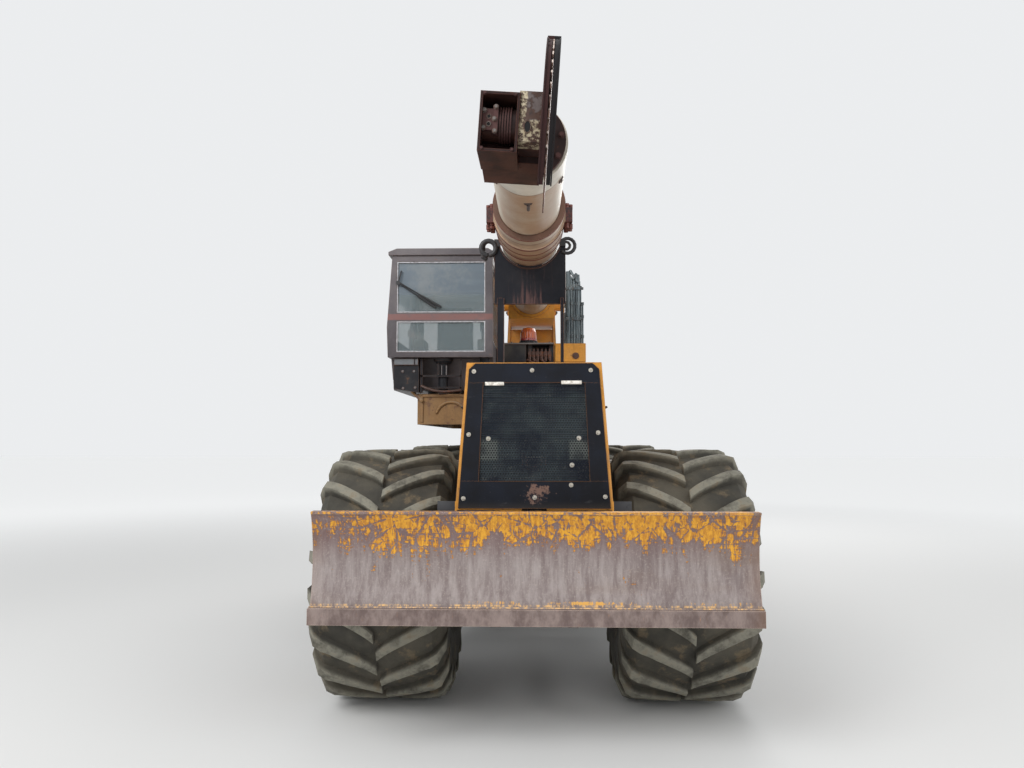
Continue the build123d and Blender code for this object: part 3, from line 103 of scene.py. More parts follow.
class Finish:
    """A surface finish whose shader nodes are added call by call."""

    def __init__(self, name, tree=None):
        if tree is None:
            self.material = bpy.data.materials.new(name)
            self.material.use_nodes = True
            tree = self.material.node_tree
        self.tree = tree
        self.shader = tree.nodes.get("Principled BSDF")

    def node(self, kind, settings, values, output=0):
        """One node: settings first, then the values or links of its sockets."""
        made = self.tree.nodes.new(kind)
        for key, value in settings.items():
            setattr(made, key, value)
        pairs = values.items() if isinstance(values, dict) else enumerate(values)
        for key, value in pairs:
            self.plug(made.inputs[key], value)
        return Socket(self, made.outputs[output])

    def plug(self, target, value):
        if isinstance(value, Socket):
            self.tree.links.new(value.output, target)
        elif target.type == "RGBA":
            target.default_value = (*value, 1.0)
        else:
            target.default_value = value

    def set(self, **values):
        """Base colour, roughness and so on, on the main shader."""
        for key, value in values.items():
            self.plug(self.shader.inputs[key.replace("_", " ").title()], value)
        return self

    def stain(self, mask, over):
        """Lays one more colour over the finish's own."""
        self.color = self.mix(mask, self.color, over)
        self.set(base_color=self.color)

    def dull(self):
        """Weakens the sheen, for old dark paint that mirrors less of the pale surround."""
        self.shader.inputs["Specular IOR Level"].default_value = 0.2

    def place(self):
        return self.node("ShaderNodeTexCoord", {}, [], "Object")

    def coordinate(self, axis):
        return self.node("ShaderNodeSeparateXYZ", {}, [self.place()], axis)

    def facing_up(self):
        normal = self.node("ShaderNodeTexCoord", {}, [], "Normal")
        return self.node("ShaderNodeSeparateXYZ", {}, [normal], "Z")

    def noise(self, scale, detail=5.0, roughness=0.6, stretch=(1.0, 1.0, 1.0), shift=0.0):
        values = {"Vector": self.place(), "Location": (shift, shift, shift), "Scale": stretch}
        place = self.node("ShaderNodeMapping", {}, values)
        values = {"Vector": place, "Scale": scale, "Detail": detail, "Roughness": roughness}
        return self.node("ShaderNodeTexNoise", {}, values)

    def cracks(self, scale, width, shift=0.0):
        """1 along the borders of a net of irregular cells."""
        place = self.node("ShaderNodeMapping", {}, {"Vector": self.place(), "Location": (shift,) * 3})
        values = {"Vector": place, "Scale": scale}
        border = self.node("ShaderNodeTexVoronoi", {"feature": "DISTANCE_TO_EDGE"}, values, "Distance")
        return border.step(width, 0.0)

    def mix(self, mask, first, second):
        return self.node("ShaderNodeMix", {"data_type": "RGBA"}, {0: mask, 6: first, 7: second}, 2)

    def layered(self, color, *layers):
        """A colour with others laid over it in turn, each as (mask, colour)."""
        for mask, over in layers:
            color = self.mix(mask, color, over)
        return color

    def edges(self, radius):
        """1 along outer edges and 0 on the faces."""
        soft = self.node("ShaderNodeBevel", {"samples": 4}, {"Radius": radius})
        true = self.node("ShaderNodeNewGeometry", {}, [], "Normal")
        dot = self.node("ShaderNodeVectorMath", {"operation": "DOT_PRODUCT"}, [soft, true], "Value")
        return dot.step(0.985, 0.86)

    def bump(self, height, distance):
        values = {"Strength": 1.0, "Distance": distance, "Height": height}
        return self.set(normal=self.node("ShaderNodeBump", {}, values))


def tint(red, green, blue):
    """A colour as it is seen, from 0 to 255, in the linear values that shaders take."""
    return tuple(((c / 255 + 0.055) / 1.055) ** 2.4 for c in (red, green, blue))


def darker(color, share):
    return tuple(c * share for c in color)


# Studio: a pale floor, a pale surround that only the camera, mirrors and glass see as bright, and the
# even light of an overcast sky with a softer key from the front.
floor_mesh = bmesh.new()
bmesh.ops.create_grid(floor_mesh, x_segments=1, y_segments=1, size=60.0)
floor_data = bpy.data.meshes.new("floor")
floor_mesh.to_mesh(floor_data)
floor = bpy.data.objects.new("floor", floor_data)
bpy.context.scene.collection.objects.link(floor)
floor_finish = Finish("pale_floor")
from_middle = floor_finish.node("ShaderNodeVectorMath", {"operation": "LENGTH"}, [floor_finish.place()],
                                "Value")
glow = floor_finish.mix(from_middle.step(5.0, 16.0), (0.0, 0.0, 0.0), (0.36, 0.365, 0.37))
floor_finish.set(base_color=(0.72, 0.72, 0.71), roughness=0.9, emission_color=glow, emission_strength=1.0)
floor_data.materials.append(floor_finish.material)

SKY_LIGHT = 0.62
SEEN_LIGHT = 0.86
world = bpy.data.worlds.new("surround")
world.use_nodes = True
bpy.context.scene.world = world
surround = Finish("surround", world.node_tree)
by_camera, by_mirror, by_glass = (surround.node("ShaderNodeLightPath", {}, [], "Is " + kind + " Ray")
                                  for kind in ("Camera", "Glossy", "Transmission"))
seen = (by_camera + by_mirror + by_glass).step(0.0, 1.0)
backdrop = world.node_tree.nodes["Background"]
backdrop.inputs["Color"].default_value = (0.97, 0.985, 1.0, 1.0)
surround.plug(backdrop.inputs["Strength"], SKY_LIGHT + seen * (SEEN_LIGHT - SKY_LIGHT))

LAMPS = (  # name, place, target, size, power in watts
    ("key", (-5.0, -7.5, 7.5), (0.0, -1.0, 1.2), 5.0, 620.0),
    ("fill", (6.0, -6.0, 4.0), (0.0, -1.0, 1.4), 5.0, 170.0),
    ("back", (3.0, 8.0, 7.0), (0.0, 1.5, 1.5), 5.0, 320.0),
)
for name, place, target, size, power in LAMPS:
    lamp = bpy.data.lights.new(name, "AREA")
    lamp.size = size
    lamp.energy = power
    holder = bpy.data.objects.new(name, lamp)
    bpy.context.scene.collection.objects.link(holder)
    holder.location = place
    holder.rotation_euler = (Vector(target) - Vector(place)).to_track_quat("-Z", "Y").to_euler()

# Tyres: broad forestry tyres with two staggered rows of curved lugs, moulded in black rubber that road
# dust has turned grey-brown. The lug tops are rubbed paler and the grooves hold dried mud.
WHEELS = ("front_left", "front_right", "rear_left", "rear_right")
TYRE_R = (tyre_high.z - tyre_low.z) / 2
LUGS = 20
BEAD = (0.3405, 0.3376)
WALL = ((0.372, 0.372), (0.388, 0.430), (0.3935, 0.520), (0.389, 0.600), (0.368, 0.672), (0.318, 0.722))
CROWN = ((0.200, 0.7345), (0.070, 0.7395))  # distance from the tread's middle, radius
LUG_SPAN = (0.004, 0.3945)
LUG_START, LUG_END = -0.150, 0.092  # how far round the tyre a lug's two ends lie
LUG_WIDTHS = (0.060, 0.082)  # at the top and at the root
KEEP = 0.0006  # what a mesh stays inside the solid that it stands for


def carcass_radius(x):
    """Radius of the rubber under the lugs at a distance from the tread's middle."""
    points = [(0.0, 0.740), *reversed(CROWN), *reversed(WALL)]
    for (x0, r0), (x1, r1) in zip(points, points[1:]):
        if x <= x1 and x1 > x0:
            return r0 + (r1 - r0) * (x - x0) / (x1 - x0)
    return 0.52


def lug_radius(x):
    """Radius of a lug's top, which falls away past the shoulder."""
    fall = max(0.0, x - 0.235)
    return TYRE_R - KEEP - 0.18 * fall ** 1.15 - 7.5 * max(0.0, x - 0.335) ** 1.6


def round_edges(mesh, offset, edges=None, segments=2):
    """Rounds the given edges of a mesh, or all of them."""
    bmesh.ops.bevel(mesh, geom=list(mesh.edges if edges is None else edges), offset=offset,
                    offset_type="OFFSET", segments=segments, profile=0.5, affect="EDGES", material=-1)


def outward(mesh):
    bmesh.ops.recalc_face_normals(mesh, faces=mesh.faces)


def verts_of(made):
    return [item for item in made["geom"] if isinstance(item, bmesh.types.BMVert)]


def closed_loop(mesh, verts):
    """Edges round a ring of verts."""
    return [mesh.edges.new(pair) for pair in zip(verts, verts[1:] + verts[:1])]


tyre_mesh = bmesh.new()
lug_top = tyre_mesh.verts.layers.float.new("lug_top")
corners = bmesh.ops.create_cube(tyre_mesh, size=1.0)["verts"]
long_edges = {e for v in corners for e in v.link_edges if abs(e.verts[0].co.x - e.verts[1].co.x) > 0.5}
bmesh.ops.subdivide_edges(tyre_mesh, edges=list(long_edges), cuts=8, use_grid_fill=True)
for v in tyre_mesh.verts:
    share = v.co.x + 0.5
    top = v.co.z > 0
    x = LUG_SPAN[0] + (LUG_SPAN[1] - LUG_SPAN[0]) * share
    width = (LUG_WIDTHS[0] if top else LUG_WIDTHS[1]) * (1.0 + 0.18 * share)
    round_way = LUG_START + (LUG_END - LUG_START) * share ** 0.82 + v.co.y * width
    radius = lug_radius(x) if top else carcass_radius(x) - 0.022
    v.co = Vector((x, radius * math.sin(round_way / TYRE_R), radius * math.cos(round_way / TYRE_R)))
    v[lug_top] = 1.0 if top else 0.0
rims_of_lug = [e for e in tyre_mesh.edges
               if all(v[lug_top] > 0.5 for v in e.verts) and e.calc_face_angle() > 0.5]
round_edges(tyre_mesh, 0.006, rims_of_lug)
one_lug = [*tyre_mesh.verts, *tyre_mesh.edges, *tyre_mesh.faces]
for side, stagger in ((1, 0.0), (-1, 0.5)):
    for k in range(LUGS):
        if side > 0 and k == 0:
            continue  # the first lug is there already
        verts = verts_of(bmesh.ops.duplicate(tyre_mesh, geom=one_lug))
        bmesh.ops.scale(tyre_mesh, verts=verts, vec=(side, 1, 1))
        turn = Matrix.Rotation(-2 * math.pi * (k + stagger) / LUGS, 3, "X")
        bmesh.ops.rotate(tyre_mesh, verts=verts, cent=(0, 0, 0), matrix=turn)
half_line = [BEAD, *WALL, *CROWN]
outline = [(-x, r) for x, r in half_line] + [(x, r) for x, r in reversed(half_line)]
ring = [tyre_mesh.verts.new((x, 0.0, r)) for x, r in outline]
bmesh.ops.spin(tyre_mesh, geom=ring + closed_loop(tyre_mesh, ring), cent=(0, 0, 0), axis=(1, 0, 0),
               angle=2 * math.pi, steps=96, use_merge=True)
outward(tyre_mesh)

tyre_finish = Finish("dusty_rubber")
top_mask = tyre_finish.node("ShaderNodeAttribute", {"attribute_name": "lug_top"}, [], "Fac")
broad = tyre_finish.noise(2.6, 4.0)
patches = tyre_finish.noise(9.0, 7.0, 0.68)
grain = tyre_finish.noise(70.0, 4.0, 0.7)
rubber = tyre_finish.layered(
    tint(54, 52, 46), (broad.step(0.35, 0.65), tint(84, 79, 68)),
    (top_mask.step(0.55, 1.0) * patches.step(0.25, 0.6), tint(134, 131, 118)),
    (patches.step(0.52, 0.68) * 0.6, tint(122, 106, 82)), (grain.step(0.58, 0.75) * 0.5, tint(58, 52, 44)))
tyre_finish.set(base_color=rubber, roughness=0.72 + patches * 0.25)
tyre_finish.bump(grain * 0.5 + patches * 1.4, 0.004)


def piece(name, mesh, body, finish, smooth=None):
    """An object from a bmesh that rides on a body. Edges under the smooth angle shade softly."""
    data = bpy.data.meshes.new(name)
    mesh.to_mesh(data)
    mesh.free()
    data.materials.append(finish.material)
    if smooth is not None:
        data.shade_smooth()
        data.set_sharp_from_angle(angle=math.radians(smooth))
    thing = bpy.data.objects.new(name, data)
    bpy.context.scene.collection.objects.link(thing)
    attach(thing, body)
    return thing


for wheel in WHEELS:
    low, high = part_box("tyre_" + wheel)
    own = tyre_mesh.copy()
    bmesh.ops.translate(own, verts=own.verts, vec=(low + high) / 2)
    tyre = piece("tread_" + wheel, own, "wheel_" + wheel, tyre_finish, smooth=38)
    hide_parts("tyre_" + wheel)
tyre_mesh.free()


# Wheel rims: pressed steel discs in faded yellow, held to the hub by a ring of nuts, with the planetary
# cover's own bolts nearer the middle and a valve beside them.
def rod(mesh, radius, start, end, sides=24, end_radius=None):
    """A round bar from one point to another, its second end wider or narrower if asked."""
    start, end = Vector(start), Vector(end)
    turn = (end - start).to_track_quat("Z", "Y").to_matrix().to_4x4()
    place = Matrix.Translation((start + end) / 2) @ turn
    return bmesh.ops.create_cone(mesh, cap_ends=True, segments=sides, radius1=radius,
                                 radius2=radius if end_radius is None else end_radius,
                                 depth=(end - start).length, matrix=place)["verts"]


def bolt(mesh, place, out, across=0.024, tall=0.012):
    """A hexagon head on its washer, standing out along the given direction."""
    place, out = Vector(place), Vector(out).normalized()
    rod(mesh, across * 0.72, place - out * 0.002, place + out * 0.003, 18)
    rod(mesh, across * 0.56, place, place + out * (0.003 + tall), 6)


def weathered(name, coat, rust, dust, roughness=0.55, rusty=0.5, dusty=0.5, streaked=0.4, edge=None):
    """Old paint: uneven colour, rust runs and spots, worn edges and dust on what faces up."""
    made = Finish(name)
    broad = made.noise(1.3, 4.0)
    patches = made.noise(7.0, 7.0, 0.64)
    grain = made.noise(48.0, 5.0, 0.62)
    runs = made.noise(1.0, stretch=(30.0, 30.0, 1.8))
    spots = (patches * 0.7 + grain * 0.3).step(0.66 - 0.14 * rusty, 0.72 - 0.12 * rusty)
    worn = made.edges(0.006) * (0.35 + grain).step(0.6, 0.9)
    settled = made.facing_up().step(0.3, 0.95) * (0.25 + patches).step(0.4, 0.85) * dusty
    thin = (broad * 0.6 + patches * 0.4).step(0.42, 0.7) * dusty * 0.55
    made.color = made.layered(
        darker(coat, 0.72), (broad.step(0.32, 0.68), coat), (grain.step(0.4, 0.7) * 0.35, darker(coat, 1.25)),
        (runs.step(0.56, 0.78) * streaked, darker(rust, 0.9)), (spots, rust), (worn, edge or rust),
        (settled.most(thin), dust))
    made.set(base_color=made.color, roughness=spots.most(settled) * (0.9 - roughness) + roughness)
    return made.bump(patches * 0.8 + grain * 0.4 - spots * 0.35, 0.0015)


def dress(nodes, finish, bevel=0.0025, smooth=34):
    """Gives solids their finish, a small bevel that catches the light and smooth round faces."""
    for node in nodes.split():
        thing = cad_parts[node]
        thing.data.materials.clear()
        thing.data.materials.append(finish.material)
        thing.data.shade_smooth()
        weld = thing.modifiers.new("weld", "WELD")
        weld.merge_threshold = 0.00002
        if bevel:
            soften = thing.modifiers.new("soften", "BEVEL")
            soften.limit_method = "ANGLE"
            soften.angle_limit = math.radians(40)
            soften.width = bevel
            soften.segments = 1
            soften.use_clamp_overlap = True
        split = thing.modifiers.new("split", "EDGE_SPLIT")
        split.split_angle = math.radians(smooth)


RUST = tint(104, 62, 42)
DUST = tint(158, 146, 126)
YELLOW = tint(218, 148, 44)
rim_paint = weathered("rim_paint", darker(YELLOW, 0.8), RUST, DUST, 0.6, 0.5, 0.8, 0.3)
for wheel in WHEELS:
    dress("rim_" + wheel, rim_paint, 0.002)
    side = 1 if wheel.endswith("right") else -1
    low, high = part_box("tyre_" + wheel)
    middle = (low + high) / 2
    nuts = bmesh.new()
    for count, radius, plane, across in ((12, 0.205, -0.071, 0.036), (8, 0.118, 0.0, 0.022)):
        for k in range(count):
            angle = 2 * math.pi * (k + 0.5) / count
            seat = middle + Vector((side * plane, radius * math.cos(angle), radius * math.sin(angle)))
            bolt(nuts, seat, (side, 0, 0), across, across * 0.6)
    rod(nuts, 0.006, middle + Vector((side * -0.07, 0, 0.29)), middle + Vector((side * -0.02, 0, 0.27)), 10)
    piece("wheel_nuts_" + wheel, nuts, "wheel_" + wheel, rim_paint, smooth=35)

# Axles, knuckles and frame: heavy welded and cast steel in chipped black paint. Rust and dust gather on
# it, because all of it lies low under the machine.
black_steel = weathered("black_steel", tint(40, 42, 48), darker(RUST, 0.8), darker(DUST, 0.75),
                        0.5, 0.35, 0.4, 0.25)
black_steel.dull()
dress("front_axle rear_axle chassis_frame tie_rod_front tie_rod_rear slew_base access_steps blade_arms",
      black_steel, 0.003)
dress("counterweight " + " ".join("knuckle_" + wheel for wheel in WHEELS), black_steel, 0.003)

# Blade: a rolled mouldboard of thick plate. Gravel has scoured its middle to bare grey-brown steel, the
# upper third keeps torn patches of yellow paint, and a cutting edge is welded along its foot.
blade_low, blade_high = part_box("blade")
scoured = Finish("scoured_blade")
height, across = scoured.coordinate("Z"), scoured.coordinate("X")
broad = scoured.noise(1.7, 5.0)
brushed = scoured.noise(1.0, 7.0, 0.7, stretch=(26.0, 26.0, 3.2))
torn = scoured.noise(1.0, 8.0, 0.72, stretch=(13.0, 13.0, 7.0), shift=3.0)
fine = scoured.noise(90.0, 4.0, 0.7)
sweep = scoured.noise(1.0, 4.0, 0.5, stretch=(1.6, 1.6, 5.5), shift=8.0)
strokes = scoured.noise(1.0, 6.0, 0.75, stretch=(60.0, 60.0, 16.0), shift=5.0)
scrapes = scoured.noise(1.0, 6.0, 0.72, stretch=(5.0, 5.0, 110.0), shift=9.0)
drawn = scoured.noise(1.0, stretch=(34.0, 34.0, 4.0), shift=11.0)
scars = scoured.cracks(7.0, 0.05).most(scoured.cracks(15.0, 0.06, 4.0) * 0.7)
steel = scoured.layered(
    tint(116, 102, 100), (brushed.step(0.3, 0.7), tint(158, 148, 145)),
    (height.step(0.98, 1.16) * 0.75, tint(112, 86, 84)), (sweep.step(0.5, 0.7) * 0.35, tint(122, 100, 84)),
    (fine.step(0.5, 0.72) * 0.4, tint(178, 168, 160)))
middle_share = (across + 0.18).size().step(1.10, 0.55)
high = height.step(1.00, 1.18) * 0.32 + height.step(0.86, 1.06) * 0.13 - height.step(1.225, 1.258) * 0.10
high = high + middle_share * (0.05 + height.step(0.95, 1.10) * 0.06)
cover = high + (torn - 0.5) * 0.9 + (sweep - 0.5) * 0.8 + (strokes - 0.5) * 0.9 - scars * 0.22
cover = cover + (scrapes - 0.5) * 0.6 + (drawn - 0.5) * 0.9
paint_left = cover.step(0.365, 0.42)
fresh = scoured.mix(strokes.step(0.42, 0.62), tint(188, 126, 40), tint(224, 164, 48))
paint = scoured.mix(cover.step(0.40, 0.50), tint(172, 112, 58), fresh)
splash = height.band(0.806, 0.004, 0.022) * 0.75 + (strokes - 0.5) * 1.2 + (broad - 0.5) * 1.6
splash = splash.step(0.80, 0.90) * height.step(0.794, 0.797)
seam = height.band(0.792, 0.004, 0.003) * (0.42 + brushed * 0.6 + (strokes - 0.5)).step(0.66, 0.86)
edge_steel = scoured.layered(
    tint(100, 84, 80), (torn.step(0.35, 0.65), tint(140, 124, 118)),
    (strokes.step(0.6, 0.72) * 0.5, tint(176, 126, 92)))
corner_rust = (across.size() * 0.9 + broad * 0.35).step(1.12, 1.28) * 0.5
color = scoured.layered(
    steel, (paint_left, paint), (splash, tint(222, 168, 84)),
    (seam, tint(232, 186, 122)), (height.step(0.790, 0.784), edge_steel), (corner_rust, tint(120, 84, 56)),
    (scoured.edges(0.005) * 0.8, tint(196, 176, 160)))
scoured.set(base_color=color, roughness=0.5 + fine * 0.25 - paint_left * 0.05, metallic=0.12)
scoured.bump(brushed * 0.7 + fine * 0.25 + paint_left * 0.5, 0.0022)
dress("blade", scoured, 0.002, 30)

weld_line = bmesh.new()
rod(weld_line, 0.0055, (blade_low.x + 0.004, blade_low.y + 0.0185, 0.7875),
    (blade_high.x - 0.004, blade_low.y + 0.0185, 0.7875), 8)
piece("blade_edge_weld", weld_line, "blade", scoured, smooth=60)


# Hood: folded yellow sheet over the engine, with latches and handles on its sides. Its slanted front
# carries a black plate with a window of perforated sheet, held by bright bolts and two hinge bars, and
# with a rusted patch where a catch was.
def two_tone(name, scale, first, second, roughness, detail=4.0, low=0.4, high=0.7, stretch=(1.0, 1.0, 1.0)):
    """A finish that wavers finely between two colours."""
    made = Finish(name)
    made.grain = made.noise(scale, detail, stretch=stretch)
    return made.set(base_color=made.mix(made.grain.step(low, high), first, second), roughness=roughness)


PANEL_FOOT = Vector((0.0, front_axle_y - 0.750, 1.240))
PANEL_TOP = Vector((0.0, front_axle_y - 0.670, 2.080))
panel_up = (PANEL_TOP - PANEL_FOOT).normalized()
panel_out = Vector((0.0, -panel_up.z, panel_up.y))
PANEL_HEIGHT = (PANEL_TOP - PANEL_FOOT).length
PLATE_FACE = 0.0123
PLATE_BACK = 0.0003


def on_panel(across, up, out):
    """A place on the hood's slanted front."""
    return PANEL_FOOT + Vector((across, 0, 0)) + panel_up * up + panel_out * out


def slab(mesh, corners, thickness):
    """A plate from the corners of one face and the vector of its thickness."""
    face = mesh.faces.new([mesh.verts.new(corner) for corner in corners])
    far_side = verts_of(bmesh.ops.extrude_face_region(mesh, geom=[face]))
    bmesh.ops.translate(mesh, verts=far_side, vec=thickness)


def panel_prism(mesh, corners, back=PLATE_BACK, front=PLATE_FACE):
    """A plate on the slanted front from (across, up) corners."""
    slab(mesh, [on_panel(a, u, back) for a, u in corners], panel_out * (front - back))


PLATE_FOOT, FOOT_HALF = 0.009, 0.428
PLATE_HEAD, HEAD_HALF = PANEL_HEIGHT - 0.007, 0.373
WINDOW_FOOT, WINDOW_FOOT_HALF = 0.161, 0.313
WINDOW_HEAD, WINDOW_HEAD_HALF = 0.722, 0.291
CORNER_CUT = 0.035


def plate_half(up):
    return FOOT_HALF + (HEAD_HALF - FOOT_HALF) * (up - PLATE_FOOT) / (PLATE_HEAD - PLATE_FOOT)


plate = bmesh.new()
beside_foot, beside_head = plate_half(WINDOW_FOOT), plate_half(WINDOW_HEAD)
cut_up = PLATE_HEAD - CORNER_CUT
panel_prism(plate, [(-FOOT_HALF, PLATE_FOOT), (FOOT_HALF, PLATE_FOOT), (beside_foot, WINDOW_FOOT),
                    (-beside_foot, WINDOW_FOOT)])
panel_prism(plate, [(-beside_head, WINDOW_HEAD), (beside_head, WINDOW_HEAD), (plate_half(cut_up), cut_up),
                    (HEAD_HALF - CORNER_CUT, PLATE_HEAD), (-HEAD_HALF + CORNER_CUT, PLATE_HEAD),
                    (-plate_half(cut_up), cut_up)])
for side in (-1, 1):
    corners = [(side * WINDOW_FOOT_HALF, WINDOW_FOOT), (side * beside_foot, WINDOW_FOOT),
               (side * beside_head, WINDOW_HEAD), (side * WINDOW_HEAD_HALF, WINDOW_HEAD)]
    panel_prism(plate, corners if side > 0 else corners[::-1])
bmesh.ops.remove_doubles(plate, verts=plate.verts, dist=1e-5)
outward(plate)
panel = Finish("black_panel")
across, up = panel.coordinate("X"), panel.coordinate("Z")
smears = panel.noise(3.4, 5.0, 0.62)
scuffs = panel.noise(1.0, 7.0, 0.7, stretch=(9.0, 9.0, 30.0))
flecks = panel.noise(120.0, 3.0, 0.7)
blots = panel.noise(22.0, 5.0, 0.7, shift=3.0)
spread = ((across - 0.015) * 10.0).math("POWER", 2.0) + ((up - 1.325) * 17.0).math("POWER", 2.0)
color = panel.layered(
    tint(12, 13, 19), (smears.step(0.35, 0.65), tint(22, 26, 36)),
    (scuffs.step(0.6, 0.8) * 0.4, tint(82, 82, 84)), (flecks.step(0.68, 0.8) * 0.6, tint(150, 138, 122)),
    ((blots - spread * 0.16).step(0.42, 0.52) * 0.8, tint(128, 100, 88)),
    (up.step(1.30, 1.22) * 0.35, tint(86, 76, 64)), (panel.edges(0.005) * 0.7, tint(150, 104, 66)))
panel.set(base_color=color, roughness=0.48 + smears * 0.3 + flecks * 0.1)
panel.bump(scuffs * 0.5 + flecks * 0.4, 0.001)
panel.dull()
front_plate = piece("front_plate", plate, "chassis", panel)
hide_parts("grille_panel")

PITCH = 0.0152  # between the holes of the perforated sheet
ROW = PITCH * math.sqrt(3) / 2
COLUMNS = 41
ROW_PAIRS = 22
sheet_mesh = bmesh.new()
for row in range(2):
    middle = (-(COLUMNS - 1) / 2 * PITCH + row * PITCH / 2, WINDOW_FOOT + 0.002 + row * ROW)
    loops = []
    for radius in (PITCH / math.sqrt(3), PITCH * 0.40):
        turns = [math.radians(60 * k + 30) for k in range(6)]
        spots = [(middle[0] + radius * math.cos(a), middle[1] + radius * math.sin(a)) for a in turns]
        loops += closed_loop(sheet_mesh, [sheet_mesh.verts.new(on_panel(*spot, 0.004)) for spot in spots])
    bmesh.ops.bridge_loops(sheet_mesh, edges=loops)
bmesh.ops.remove_doubles(sheet_mesh, verts=sheet_mesh.verts, dist=1e-6)
sheet = Finish("perforated_sheet")
dusting = sheet.noise(5.0, 6.0, 0.7)
glints = sheet.noise(150.0, 2.0)
across, up = sheet.coordinate("X"), sheet.coordinate("Z")
left_print = across.band(-0.262, 0.045, 0.02) * up.band(1.574, 0.045, 0.02)
right_print = across.band(0.255, 0.045, 0.02) * up.band(1.576, 0.045, 0.02)
prints = left_print.most(right_print) * dusting.step(0.3, 0.55)
color = sheet.layered(
    tint(26, 32, 44), (dusting.step(0.4, 0.65), tint(60, 68, 72)),
    (glints.step(0.6, 0.72) * 0.5, tint(134, 128, 116)), (prints * 0.75, tint(104, 108, 104)))
sheet.set(base_color=color, roughness=0.5, metallic=0.2)
sheet.dull()
grille = piece("grille_sheet", sheet_mesh, "chassis", sheet)
COPIES = (("columns", Vector((PITCH, 0, 0)), COLUMNS), ("rows", panel_up * 2 * ROW, ROW_PAIRS))
for name, offset, count in COPIES:
    array = grille.modifiers.new(name, "ARRAY")
    array.use_relative_offset = False
    array.use_constant_offset = True
    array.constant_offset_displace = offset
    array.count = count
    array.use_merge_vertices = True
    array.merge_threshold = 0.0003
thicken = grille.modifiers.new("thickness", "SOLIDIFY")
thicken.thickness = 0.0022
thicken.offset = 0.0

core = bmesh.new()
for k in range(26):
    fin = 0.12 + 0.024 * k
    panel_prism(core, [(-0.30, fin), (0.30, fin), (0.30, fin + 0.010), (-0.30, fin + 0.010)], -0.075, -0.045)
panel_prism(core, [(-0.33, 0.10), (0.33, 0.10), (0.33, 0.755), (-0.33, 0.755)], -0.11, -0.075)
dark_core = two_tone("radiator_core", 200.0, tint(16, 18, 22), tint(34, 36, 40), 0.8, 2.0, high=0.6,
                     stretch=(1.0, 1.0, 0.2))
piece("radiator_core", core, "chassis", dark_core)

BOLTS = (  # across, up
    (-0.346, 0.789), (-0.011, 0.795), (0.326, 0.795), (-0.372, 0.424), (-0.260, 0.401), (0.363, 0.435),
    (0.254, 0.404), (0.213, 0.252), (0.207, 0.140), (-0.398, 0.064), (0.003, 0.070), (0.397, 0.075),
)
bright_bolt = two_tone("plated_bolt", 160.0, tint(196, 192, 182), tint(136, 122, 104), 0.35, 3.0, 0.45)
bright_bolt.set(roughness=0.35 + bright_bolt.grain * 0.3, metallic=0.6)
bolts = bmesh.new()
for spot in BOLTS:
    for radius, top_radius, below, above in ((0.0135, 0.012, -0.002, 0.004), (0.009, 0.004, 0.003, 0.009)):
        foot, head = on_panel(*spot, PLATE_FACE + below), on_panel(*spot, PLATE_FACE + above)
        rod(bolts, radius, foot, head, 20, top_radius)
piece("panel_bolts", bolts, "chassis", bright_bolt, smooth=30)

bars = bmesh.new()
for left, right, up in ((-0.281, -0.172, 0.716), (0.156, 0.273, 0.723)):
    low, high = up - 0.010, up + 0.010
    panel_prism(bars, [(left, low), (right, low), (right, high), (left, high)], PLATE_FACE - 0.010,
                PLATE_FACE + 0.012)
outward(bars)
round_edges(bars, 0.003)
chalky = two_tone("chalky_bar", 60.0, tint(232, 228, 220), tint(180, 172, 160), 0.5)
piece("panel_hinge_bars", bars, "chassis", chalky, smooth=40)

hood_paint = weathered("hood_paint", YELLOW, RUST, DUST, 0.5, 0.4, 0.45, 0.45)
ledge = hood_paint.coordinate("Z").step(1.297, 1.294) * hood_paint.coordinate("X").size().step(0.4445, 0.4465)
hood_paint.stain(ledge, tint(34, 34, 38))
dress("hood rear_cover", hood_paint, 0.004)


def bent_bar(mesh, radius, points, sides=10):
    """A round bar that follows a line of points, with balls at its bends."""
    points = [Vector(point) for point in points]
    for start, end in zip(points, points[1:]):
        rod(mesh, radius, start, end, sides)
    for point in points:
        place = Matrix.Translation(point)
        bmesh.ops.create_uvsphere(mesh, u_segments=sides, v_segments=6, radius=radius, matrix=place)


LATCH_Z = 1.66
latch_side = 0.390 + 0.0655 * (2.080 - LATCH_Z)  # the hood's half width there


def on_side(side, out, along, up=0.0):
    """A place on the hood's side: out of it, along from the front axle and up from the latches."""
    return side * (latch_side + out), front_axle_y + along, LATCH_Z + up


latches = bmesh.new()
for side in (-1, 1):
    for y in (-0.50, -0.24, 0.10, 0.55):
        rod(latches, 0.012, on_side(side, -0.002, y - 0.020), on_side(side, -0.002, y + 0.020), 12)
        for along in (y - 0.012, y + 0.012):
            rod(latches, 0.0045, on_side(side, 0.006, along), on_side(side, 0.008, along, -0.048), 8)
        rod(latches, 0.0065, on_side(side, 0.008, y - 0.017, -0.048),
            on_side(side, 0.008, y + 0.017, -0.048), 10)
        bolt(latches, on_side(side, -0.001, y, 0.028), (side, 0, 0.0655), 0.014, 0.006)
    for y in (-0.37, 0.32):
        bent_bar(latches, 0.007, [on_side(side, out, y + along, 0.17) for out, along in (
            (-0.012, -0.08), (0.020, -0.07), (0.020, 0.07), (-0.012, 0.08))])
piece("hood_latches", latches, "chassis", black_steel, smooth=40)

